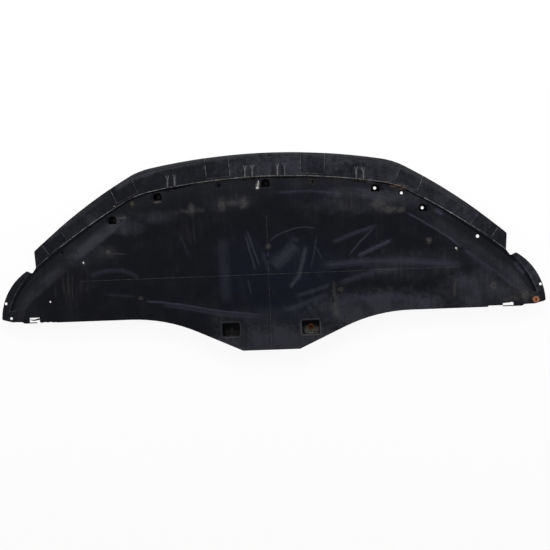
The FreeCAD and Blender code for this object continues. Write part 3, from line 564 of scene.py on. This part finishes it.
# The pale streak on each rib is a painted highlight.
RIB_HIGHLIGHT_STRENGTH = 0.85
rib_places = [pair + side * RIB_PITCH / 2 for pair in RIB_PAIRS for side in (-1, 1)]
for rib, x in enumerate(rib_places, 1):
    step = STEP_FRONT - STEP_RADIUS + math.sqrt(STEP_RADIUS ** 2 - x ** 2)
    LIP_RIM_AND_RIB_HIGHLIGHTS[f"rib_{rib}"] = (RIB_WIDTH, RIB_HIGHLIGHT_STRENGTH, [(x, step - RIB_REACH / 2), (x, step + RIB_REACH)])
lip_rim_and_rib_highlights = streak_field("Pale rim and rib highlights of the lip", LIP_RIM_AND_RIB_HIGHLIGHTS)
lip_film = patch_field("Dust on the lip", LIP_FILM, softness=0.8)
band_film = patch_field("Dust on the band", BAND_FILM, softness=0.6)
panel_film = patch_field("Dust on the panel", PANEL_FILM, softness=0.7)

# %% [markdown]
# ## Dirt, rust and painted light
# Grey dust stuck along the front crease in blobs. Beige dirt sits in small spots: on the gate marks, round
# some holes and at the right wing corner. Water drew it out into thin runs in a few places. The lips of the
# split and of a few holes are scraped pale. The floors of the rear pockets are pale towards the rear, partly
# from dust and partly as painted light, and the beige along the pocket rims is a painted highlight. Two
# places of the step are stained by rust, and the middle of the panel has a cold blue painted reflection.

# %% Dirt spots, rust stains and sheen
DUST_BLOBS = {
    "left": ((-0.224, 0.135), (0.018, 0.026), 0.55),
    "left_arm": ((-0.224, 0.130), (0.055, 0.011), 0.34),
    "middle": ((-0.132, 0.144), (0.020, 0.030), 0.46),
    "inner": ((-0.066, 0.149), (0.022, 0.028), 0.46),
    "bridge": ((-0.098, 0.148), (0.055, 0.014), 0.34),
    "right_front": ((0.332, 0.130), (0.030, 0.026), 0.46),
    "right_middle": ((0.365, 0.110), (0.038, 0.016), 0.52),
    "right_rear": ((0.401, 0.107), (0.020, 0.013), 0.46),
}
DIRT_SPOTS = {
    "gate_left": ((-0.481, 0.016), (0.012, 0.012), 0.50),
    "gate_middle": ((0.001, 0.015), (0.012, 0.012), 0.50),
    "gate_right": ((0.479, 0.014), (0.013, 0.013), 0.46),
    "gate_left_halo": ((-0.481, 0.016), (0.030, 0.028), 0.10),
    "wing_corner": ((0.757, -0.157), (0.040, 0.026), 0.26),
    "wing_corner_inner": ((0.726, -0.166), (0.040, 0.014), 0.20),
    "step_smear": ((0.021, 0.224), (0.014, 0.005), 0.70),
    "split": ((-0.025, 0.196), (0.007, 0.016), 0.80),
    "left_crease_hole": ((-0.558, -0.012), (0.009, 0.009), 0.25),
    "right_crease_hole": ((0.558, -0.012), (0.009, 0.009), 0.30),
    "middle_drain": ((0.213, -0.122), (0.010, 0.010), 0.45),
    "left_middle_drain": ((-0.388, -0.125), (0.009, 0.009), 0.45),
    "wing_hole": ((0.664, -0.127), (0.014, 0.014), 0.40),
    "left_shoulder_seat": ((-0.404, 0.158), (0.013, 0.013), 0.20),
    "front_seat": ((0.140, 0.203), (0.013, 0.013), 0.28),
    "pocket_lip_inner": ((-0.327, 0.161), (0.018, 0.005), 0.45),
    "pocket_lip_outer": ((-0.437, 0.118), (0.020, 0.006), 0.40),
}
# Rear pocket floors: partly dust, partly painted light where the lamps barely reach.
POCKET_DUST_AND_LIGHT = {
    "right_floor": ((0.120, -0.242), (0.032, 0.018), 1.00),
    "left_floor": ((-0.120, -0.243), (0.030, 0.014), 0.18),
}
RUN_ZONES = {
    "far_left": ((-0.600, -0.085), (0.075, 0.085), 0.32),
    "left_front": ((-0.230, 0.070), (0.050, 0.060), 0.12),
    "right_run": ((0.550, -0.120), (0.020, 0.050), 0.55),
    "right_middle": ((0.200, -0.155), (0.026, 0.070), 0.45),
    "right_front": ((0.240, 0.140), (0.060, 0.050), 0.30),
}
PALE_SCRAPES = {
    "split": ((-0.0205, 0.205), (0.0030, 0.016), 0.35),
    "split_foot": ((-0.0225, 0.191), (0.0050, 0.0050), 0.40),
    "step_shoulder": ((-0.458, 0.153), (0.006, 0.004), 0.22),
    "left_crease_hole": ((-0.556, -0.016), (0.003, 0.005), 0.12),
    "right_crease_hole": ((0.560, -0.016), (0.003, 0.005), 0.16),
}
RUST_STAINS = {
    "step_outer": ((0.388, 0.180), (0.024, 0.006), 0.40),
    "step_end": ((0.409, 0.171), (0.016, 0.005), 0.45),
    "step_inner": ((0.356, 0.193), (0.016, 0.004), 0.28),
    "screw_bleed": ((0.7885, -0.1735), (0.016, 0.016), 0.50),
}
# The blue cast in the middle of the panel is a painted reflection.
PAINTED_BLUE_REFLECTION = {
    "middle": ((0.080, -0.060), (0.20, 0.13), 1.00),
    "rear": ((0.060, -0.170), (0.20, 0.07), 0.90),
    "left": ((-0.060, -0.060), (0.13, 0.14), 0.80),
}
DIRT_LINES_AND_RIM_HIGHLIGHTS = {
    "right_dusty_line": (0.008, 0.28, [(0.192, -0.090), (0.196, -0.153), (0.199, -0.215)]),
    "right_run": (0.010, 0.22, [(0.554, -0.094), (0.547, -0.160)]),
    "left_run": (0.004, 0.14, [(-0.593, -0.038), (-0.597, -0.141)]),
    "gate_run": (0.004, 0.22, [(-0.475, 0.013), (-0.421, 0.007)]),
    # The two pocket rim lines below are painted highlights.
    "right_pocket_rim_highlight": (0.005, 0.34, [(0.091, -0.208), (0.091, -0.255), (0.148, -0.255), (0.148, -0.214)]),
    "left_pocket_rim_highlight": (0.004, 0.14, [(-0.146, -0.255), (-0.093, -0.255)]),
    "step_dirt": (0.004, 0.70, [(-0.230, 0.209), (-0.130, 0.219), (0.000, 0.225), (0.130, 0.220),
                                (0.268, 0.204), (0.332, 0.192)]),
}
dust_blobs = patch_field("Dust blobs", DUST_BLOBS, softness=0.95)
dirt_spots = patch_field("Dirt spots", DIRT_SPOTS, softness=0.9)
pocket_dust_and_light = patch_field("Dust and painted light in the rear pockets", POCKET_DUST_AND_LIGHT, softness=0.6)
pale_scrapes = patch_field("Pale scrapes", PALE_SCRAPES, softness=0.8)
run_zones = patch_field("Places of the runs", RUN_ZONES, softness=0.9)
rust_stains = patch_field("Rust stains", RUST_STAINS, softness=0.8)
painted_blue_reflection = patch_field("Painted blue reflection", PAINTED_BLUE_REFLECTION, softness=0.8)
dirt_lines_and_rim_highlights = streak_field("Dirt lines and pocket rim highlights", DIRT_LINES_AND_RIM_HIGHLIGHTS)

# %% [markdown]
# ## The black plastic
# Under the dirt the plastic is a satin near-black with a fine moulded grain. Every mark above is a mask, and
# some are painted light and shade. The colours are mixed one over the other, from the clean plastic up, as
# the dirt itself came. All of it could be one painted image, but masks can be changed one by one. First come
# the
# things that every layer reads: the place on the tray, noises of different grain, and the side that faces the
# road. Thin runs down the panel come from a noise that is stretched along the tray's depth. A noise is a
# scale, a detail and a roughness.

# %% Places and noises of the plastic
WAVER = (60.0, 3.0, 0.65)
CLOUD = (16.0, 4.0, 0.6)
BLOTCH = (130.0, 3.0, 0.7)
RUNS = (140.0, 2.0, 0.6)
RUN_STRETCH = (1, 0.05, 1)
CONTOUR = (800.0, 2.0, 0.6)
CONTOUR_STRETCH = (0.02, 0.02, 1)
WOBBLE = 0.003
WOBBLE_SCALE = 30.0
NOISE_SPREAD = (0.3, 0.7)
NARROW_SPREAD = (0.35, 0.65)


def zone(tree, name):
    """A face attribute as a mask."""
    return add(tree, "ShaderNodeAttribute", attribute_name=name).outputs["Fac"]


def uneven(tree, mask, source, levels, spread=NOISE_SPREAD):
    """A mask made weaker and stronger, between two levels, over the values where a noise mostly lies."""
    return calc(tree, "MULTIPLY", mask, fade(tree, source, *spread, *levels))


def tray_surface(tree):
    """The places, noises and road side that every layer of dirt reads."""
    place = add(tree, "ShaderNodeTexCoord").outputs["Object"]
    height = add(tree, "ShaderNodeSeparateXYZ", {0: place}).outputs["Z"]
    flat = vector_calc(tree, "MULTIPLY", place, (1, 1, 0))
    waver = noise(tree, flat, *WAVER)
    cloud = noise(tree, flat, *CLOUD)
    blotch = noise(tree, flat, *BLOTCH)
    runs = noise(tree, flat, *RUNS, stretch=RUN_STRETCH)
    contour = noise(tree, place, *CONTOUR, stretch=CONTOUR_STRETCH)
    wobble = add(tree, "ShaderNodeTexNoise", {"Vector": flat, "Scale": WOBBLE_SCALE}).outputs["Color"]
    wobble = vector_calc(tree, "SUBTRACT", wobble, (0.5, 0.5, 0.5))
    wobble = vector_calc(tree, "MULTIPLY_ADD", wobble, (WOBBLE, WOBBLE, 0), flat)
    marks = {"Place": wobble, "Waver": waver}
    road = calc(tree, "SUBTRACT", 1.0, zone(tree, "hidden"))
    return SimpleNamespace(place=place, height=height, waver=waver, cloud=cloud, blotch=blotch, runs=runs,
                           contour=contour, marks=marks, road=road)


print("surface helpers ready")

# %% [markdown]
# The film is the largest of three masks: the lip by its zone, the band by its height between the gutter and
# the panel, and the panel by its patches and a haze. The band's film fades out towards the gutter, so the
# foot of the band stays dark as painted shade behind the step. A pair of levels says how far a noise
# weakens and strengthens each of them.

# %% Film of dust
GUTTER_SHADE_LEVELS = (0.0240, 0.0305)
BAND_TOP = (0.0362, 0.0335)
LIP_DUST = 0.20
SEAT_DUST = 0.6
BAND_DUST = 0.04
LIP_MOTTLE = (0.65, 1.35)
BAND_CONTOURS = (0.7, 1.25)
HAZE_SPREAD = (0.38, 0.75)
HAZE_LEVELS = (0.0, 0.11)
HAZE_RUNS = (0.5, 1.4)
FILM_CLOUDS = (0.55, 1.35)
FILM_RUNS = (0.8, 1.2)


def dust_film(tree, on):
    """Mask of the dust: on the lip, on the band but off its foot for painted shade, then on the panel."""
    lip = calc(tree, "ADD", use(tree, lip_film, on.marks)["Mask"], LIP_DUST)
    lip = calc(tree, "MULTIPLY", lip, zone(tree, "lip"))
    lip = calc(tree, "MULTIPLY", lip, fade(tree, zone(tree, "seat"), 0, 1, 1.0, SEAT_DUST))
    lip = uneven(tree, lip, on.waver, LIP_MOTTLE, NARROW_SPREAD)
    # Painted shade: the band's film fades out towards the gutter.
    slope = calc(tree, "MULTIPLY", fade(tree, on.height, *GUTTER_SHADE_LEVELS), fade(tree, on.height, *BAND_TOP))
    band = calc(tree, "ADD", use(tree, band_film, on.marks)["Mask"], BAND_DUST)
    band = calc(tree, "MULTIPLY", band, slope)
    band = uneven(tree, band, on.contour, BAND_CONTOURS)
    haze = fade(tree, on.cloud, *HAZE_SPREAD, *HAZE_LEVELS)
    haze = uneven(tree, haze, on.runs, HAZE_RUNS)
    panel = calc(tree, "ADD", use(tree, panel_film, on.marks)["Mask"], haze)
    film = calc(tree, "MAXIMUM", calc(tree, "MAXIMUM", lip, band), panel)
    film = uneven(tree, film, on.cloud, FILM_CLOUDS)
    film = uneven(tree, film, on.runs, FILM_RUNS)
    return calc(tree, "MULTIPLY", film, on.road, clamp=True)


print("film over", len(LIP_FILM) + len(BAND_FILM) + len(PANEL_FILM), "patches")

# %% [markdown]
# The colours follow, from below: plastic with its painted blue reflection, film, pale rim with the
# painted rib highlights, wipes with the painted crease highlights, blobs, runs, beige dirt with the
# painted highlights along the pocket rims, pale scrapes and pocket floors, the floors partly painted
# light, rust, and on top the rubbed edges, on the step and the ribs partly painted highlights. The fine
# moulded lines and the rims of the rear pockets stand a little above the panel, so their dirt is found by
# its height.

# %% Colours from the plastic up
CLEAN_BLACK = (0.0036, 0.0039, 0.0060, 1)
REFLECTION_BLUE = (0.0040, 0.0056, 0.0112, 1)
FILM_GREY = (0.0260, 0.0268, 0.0330, 1)
RIM_GREY = (0.0470, 0.0480, 0.0530, 1)
WIPE_AND_HIGHLIGHT_GREY = (0.0330, 0.0350, 0.0480, 1)
BLOB_GREY = (0.0800, 0.0760, 0.0750, 1)
DIRT_AND_HIGHLIGHT_BEIGE = (0.1020, 0.0945, 0.0830, 1)
RUN_BEIGE = (0.0450, 0.0425, 0.0395, 1)
PALE_GREY = (0.5000, 0.4800, 0.4200, 1)
RUST_ORANGE = (0.2000, 0.1100, 0.0600, 1)
RUBBED_AND_HIGHLIGHT_GREY = (0.3000, 0.3000, 0.3000, 1)
LINE_FOOT = (0.0361, 0.0364)
LINE_TOP = (0.0369, 0.0367)
LINE_DIRT = (0.04, 0.26)
POCKET_LEVELS = (0.0120, 0.0060)
POCKET_RIM = (0.0368, 0.0371)
POCKET_RIM_DUST = 0.3
SPOT_MOTTLE = (0.35, 1.2)
FLOOR_MOTTLE = (0.4, 1.0)
RUN_SPREAD = (0.45, 0.68)
EDGE_WEAR = 0.05
EDGE_MOTTLE = (0.25, 1.0)


def weathered_colour_and_painted_light(tree, on, film):
    """Colour of the plastic under everything that lies on it, with the painted light among its layers."""
    # A painted blue reflection in the middle of the panel.
    sheen = calc(tree, "MULTIPLY", use(tree, painted_blue_reflection, on.marks)["Mask"], on.road)
    colour = blend(tree, sheen, CLEAN_BLACK, REFLECTION_BLUE)
    colour = blend(tree, film, colour, FILM_GREY)
    rim = calc(tree, "MULTIPLY", use(tree, lip_rim_and_rib_highlights, on.marks)["Mask"], zone(tree, "lip"), clamp=True)
    rim = calc(tree, "MAXIMUM", rim, fade(tree, on.height, *POCKET_RIM, 0.0, POCKET_RIM_DUST))
    colour = blend(tree, rim, colour, RIM_GREY)
    # Cloth wipes, with the painted crease highlights.
    wiped_and_highlit = calc(tree, "MULTIPLY", use(tree, cloth_wipes_and_crease_highlights, on.marks)["Mask"], on.road, clamp=True)
    colour = blend(tree, wiped_and_highlit, colour, WIPE_AND_HIGHLIGHT_GREY)
    blobs = uneven(tree, use(tree, dust_blobs, on.marks)["Mask"], on.blotch, SPOT_MOTTLE)
    colour = blend(tree, calc(tree, "MULTIPLY", blobs, on.road, clamp=True), colour, BLOB_GREY)
    drawn = calc(tree, "MULTIPLY", use(tree, run_zones, on.marks)["Mask"], fade(tree, on.runs, *RUN_SPREAD))
    colour = blend(tree, calc(tree, "MULTIPLY", drawn, on.road), colour, RUN_BEIGE)
    line = fade(tree, on.height, *LINE_FOOT)
    line = calc(tree, "MULTIPLY", line, fade(tree, on.height, *LINE_TOP))
    line = uneven(tree, line, on.waver, LINE_DIRT)
    spots = uneven(tree, use(tree, dirt_spots, on.marks)["Mask"], on.blotch, SPOT_MOTTLE)
    # Beige dirt, with painted highlights along the pocket rims.
    dirt_and_rim_highlights = calc(tree, "MAXIMUM", calc(tree, "MAXIMUM", line, spots), use(tree, dirt_lines_and_rim_highlights, on.marks)["Mask"])
    colour = blend(tree, calc(tree, "MULTIPLY", dirt_and_rim_highlights, on.road, clamp=True), colour, DIRT_AND_HIGHLIGHT_BEIGE)
    # The pale pocket floors are partly dust and partly painted light.
    floors = use(tree, pocket_dust_and_light, on.marks)["Mask"]
    floors = calc(tree, "MULTIPLY", floors, fade(tree, on.height, *POCKET_LEVELS))
    floors = uneven(tree, floors, on.blotch, FLOOR_MOTTLE)
    pale = calc(tree, "MAXIMUM", floors, use(tree, pale_scrapes, on.marks)["Mask"])
    colour = blend(tree, calc(tree, "MULTIPLY", pale, on.road, clamp=True), colour, PALE_GREY)
    colour = blend(tree, use(tree, rust_stains, on.marks)["Mask"], colour, RUST_ORANGE)
    # Rubbed edges, with painted highlights on the step and the ribs.
    rubbed_and_highlit = calc(tree, "MULTIPLY_ADD", zone(tree, "edge"), EDGE_WEAR, zone(tree, "rub_and_highlight"))
    rubbed_and_highlit = uneven(tree, rubbed_and_highlit, on.waver, EDGE_MOTTLE, NARROW_SPREAD)
    return blend(tree, calc(tree, "MULTIPLY", rubbed_and_highlit, on.road, clamp=True), colour, RUBBED_AND_HIGHLIGHT_GREY)


print("colours ready")

# %% [markdown]
# The finish itself is satin where the plastic is clean and duller under the film, with a fine grain. The
# grain is far smaller than a pixel from here, so a bump does and no mesh is needed.

# %% Material of the moulding
PLASTIC_SPECULAR = 0.05
SATIN_ROUGHNESS = 0.45
FILM_ROUGHNESS = 0.2
GRAIN_SCALE = 900.0
GRAIN_DETAIL = 3.0
GRAIN_STRENGTH = 0.25
GRAIN_DEPTH = 0.0004


def tray_finish():
    """Worn black plastic: dust, wipes, dirt, rubbed edges, and painted highlights, shade and reflection."""
    material = bpy.data.materials.new("worn_tray_plastic_and_painted_light")
    material.use_nodes = True
    tree = material.node_tree
    shader = tree.nodes["Principled BSDF"]
    shader.inputs["Specular IOR Level"].default_value = PLASTIC_SPECULAR
    on = tray_surface(tree)
    film = dust_film(tree, on)
    tree.links.new(weathered_colour_and_painted_light(tree, on, film), shader.inputs["Base Color"])
    rough = calc(tree, "MULTIPLY_ADD", film, FILM_ROUGHNESS, SATIN_ROUGHNESS)
    tree.links.new(rough, shader.inputs["Roughness"])
    pimples = noise(tree, on.place, GRAIN_SCALE, GRAIN_DETAIL)
    grain = {"Height": pimples, "Strength": GRAIN_STRENGTH, "Distance": GRAIN_DEPTH}
    bump = add(tree, "ShaderNodeBump", grain)
    tree.links.new(bump.outputs["Normal"], shader.inputs["Normal"])
    return material


tray.data.materials.append(tray_finish())
print("material", tray.data.materials[0].name)

# %% [markdown]
# ## Mud and rust
# The dried mud is dull and dark brown, mottled in two tones. The screws are rusted right through: a pale
# orange head and a dark slot. Rust could be one plain colour, but it flakes, so a noise mixes two oranges and
# the slot, which lies lower than the top of the head, is browned by its height.

# %% Materials of the mud and the screws
MUD_BROWN = (0.0420, 0.0390, 0.0300, 1)
MUD_DARK = (0.0170, 0.0160, 0.0130, 1)
MUD_GRAIN = (260.0, 4.0, 0.6)
MUD_ROUGHNESS = 0.9
RUST_PALE = (0.3700, 0.1600, 0.0850, 1)
RUST_DEEP = (0.1700, 0.0620, 0.0300, 1)
SLOT_BROWN = (0.0900, 0.0340, 0.0170, 1)
SLOT_DEPTH = 0.0014
RUST_FLAKES = (420.0, 5.0, 0.65)
FLAKE_SPREAD = (0.4, 0.65)
FLAKE_STRENGTH = 0.5
FLAKE_DEPTH = 0.0004
RUST_ROUGHNESS = 0.85
DULL_SPECULAR = 0.1


def plain_finish(title, roughness):
    """A dull material; returns it with its tree and its shader."""
    material = bpy.data.materials.new(title)
    material.use_nodes = True
    shader = material.node_tree.nodes["Principled BSDF"]
    shader.inputs["Roughness"].default_value = roughness
    shader.inputs["Specular IOR Level"].default_value = DULL_SPECULAR
    return material, material.node_tree, shader


mud_finish, tree, shader = plain_finish("dried_mud", MUD_ROUGHNESS)
place = add(tree, "ShaderNodeTexCoord").outputs["Object"]
mottle = fade(tree, noise(tree, place, *MUD_GRAIN), *NARROW_SPREAD)
tree.links.new(blend(tree, mottle, MUD_DARK, MUD_BROWN), shader.inputs["Base Color"])
mud_cake.data.materials.append(mud_finish)

for screw in screws:
    rust, tree, shader = plain_finish(f"rust_of_{screw.name}", RUST_ROUGHNESS)
    top = max(vertex.co.z for vertex in screw.data.vertices)
    place = add(tree, "ShaderNodeTexCoord").outputs["Object"]
    height = add(tree, "ShaderNodeSeparateXYZ", {0: place}).outputs["Z"]
    flakes = noise(tree, place, *RUST_FLAKES)
    colour = blend(tree, fade(tree, flakes, *FLAKE_SPREAD), RUST_PALE, RUST_DEEP)
    slot = fade(tree, height, top - SLOT_DEPTH / 3, top - SLOT_DEPTH)
    colour = blend(tree, slot, colour, SLOT_BROWN)
    tree.links.new(colour, shader.inputs["Base Color"])
    relief = {"Height": flakes, "Strength": FLAKE_STRENGTH, "Distance": FLAKE_DEPTH}
    bump = add(tree, "ShaderNodeBump", relief)
    tree.links.new(bump.outputs["Normal"], shader.inputs["Normal"])
    screw.data.materials.append(rust)
print("materials", len(bpy.data.materials))

# %% [markdown]
# ## The stage
# A pale floor under soft lamps. The floor shows white to the camera by its own glow, and part of its light is
# ordinary diffuse, so that the tray keeps a shadow. Right under the tray hardly any light reaches a real
# floor, so there the glow is dimmed and the paint is shaded: under the panel and the tongue, and in a small
# patch wherever it is seen through a pocket, the gutter, the band or a wing. That keeps most holes dark.

# %% Floor
FLOOR_REACH = 30
FLOOR_PAINT = (0.9, 0.9, 0.9, 1)
SHADED_PAINT = (0.12, 0.12, 0.12, 1)
FLOOR_GLOW = 0.92
UNDER_TRAY = {
    "panel": ((0.0, -0.030), (0.60, 0.185), 1.0),
    "tongue": ((0.0, -0.238), (0.18, 0.045), 1.0),
    "middle_pocket": ((0.0, 0.206), (0.012, 0.012), 1.0),
    "left_inner_pocket": ((-0.327, 0.178), (0.012, 0.012), 1.0),
    "left_outer_pocket": ((-0.466, 0.113), (0.012, 0.012), 1.0),
    "split": ((-0.0236, 0.2045), (0.011, 0.026), 0.5),
    "left_front_hole": ((-0.1433, 0.2045), (0.014, 0.014), 1.0),
    "right_front_hole": ((0.1408, 0.2045), (0.014, 0.014), 1.0),
    "left_gutter": ((-0.6299, 0.0207), (0.014, 0.014), 1.0),
    "left_wing_drain": ((-0.6761, -0.0555), (0.014, 0.014), 1.0),
    "right_wing_drain": ((0.6728, -0.0555), (0.014, 0.014), 1.0),
    "left_band_drain": ((-0.5837, 0.0162), (0.014, 0.014), 1.0),
    "right_band_drain": ((0.5802, 0.0162), (0.014, 0.014), 1.0),
    "right_wing_hole": ((0.6698, -0.1285), (0.014, 0.014), 1.0),
}


def sight(tree):
    """One for the rays that show a background: from the camera, off gloss and through glass."""
    rays = add(tree, "ShaderNodeLightPath").outputs
    seen = calc(tree, "MAXIMUM", rays["Is Camera Ray"], rays["Is Glossy Ray"])
    return calc(tree, "MAXIMUM", seen, rays["Is Transmission Ray"])


under_tray = patch_field("Under the tray", UNDER_TRAY, softness=0.15)
floor_shape = bmesh.new()
bmesh.ops.create_grid(floor_shape, x_segments=1, y_segments=1, size=FLOOR_REACH)
floor_mesh = bpy.data.meshes.new("floor")
floor_shape.to_mesh(floor_mesh)
floor_shape.free()
floor = bpy.data.objects.new("floor", floor_mesh)
floor.location.z = cad_box[0][2]
scene.collection.objects.link(floor)
floor_finish = bpy.data.materials.new("pale_floor")
floor_finish.use_nodes = True
tree = floor_finish.node_tree
tree.nodes.remove(tree.nodes["Principled BSDF"])
place = add(tree, "ShaderNodeTexCoord").outputs["Object"]
dimmed = use(tree, under_tray, {"Place": place})["Mask"]
share = calc(tree, "MULTIPLY", calc(tree, "SUBTRACT", 1.0, dimmed), FLOOR_GLOW)
share = calc(tree, "MULTIPLY", share, sight(tree))
paint = add(tree, "ShaderNodeBsdfDiffuse", {"Color": blend(tree, dimmed, FLOOR_PAINT, SHADED_PAINT)})
glow = add(tree, "ShaderNodeEmission", {"Color": (1, 1, 1, 1)})
mixed = add(tree, "ShaderNodeMixShader", {0: share, 1: paint.outputs[0], 2: glow.outputs[0]})
tree.links.new(mixed.outputs[0], tree.nodes["Material Output"].inputs["Surface"])
floor_mesh.materials.append(floor_finish)
print("floor at", round(floor.location.z, 4))

# %% [markdown]
# The light is soft and comes mostly from the front of the tray, the top of the picture: the band faces it
# and is lit, the gutter and the pockets' front walls turn away and go dark. The world is white to the eye
# and to gloss, and dimmer as a light.

# %% World and lamps
WORLD_LIGHT = 0.25
LAMPS = {
    "front_softbox": ((0.0, 2.2, 1.5), (2.6, 1.2), 80),
    "left_softbox": ((-2.0, 0.4, 1.0), (1.2, 1.2), 10),
    "right_softbox": ((2.0, 0.4, 1.0), (1.2, 1.2), 14),
}
world = bpy.data.worlds.new("studio")
scene.world = world
world.use_nodes = True
tree = world.node_tree
level = calc(tree, "MULTIPLY_ADD", sight(tree), 1 - WORLD_LIGHT, WORLD_LIGHT)
background = tree.nodes["Background"]
background.inputs["Color"].default_value = (1, 1, 1, 1)
tree.links.new(level, background.inputs["Strength"])
for name, (spot, (width, depth), power) in LAMPS.items():
    lamp_data = bpy.data.lights.new(name, "AREA")
    lamp_data.shape = "RECTANGLE"
    lamp_data.size = width
    lamp_data.size_y = depth
    lamp_data.energy = power
    lamp = bpy.data.objects.new(name, lamp_data)
    lamp.location = spot
    lamp.rotation_euler = (-Vector(spot)).to_track_quat("-Z", "Y").to_euler()
    lamp.visible_camera = False
    scene.collection.objects.link(lamp)
print("lamps", len(LAMPS))
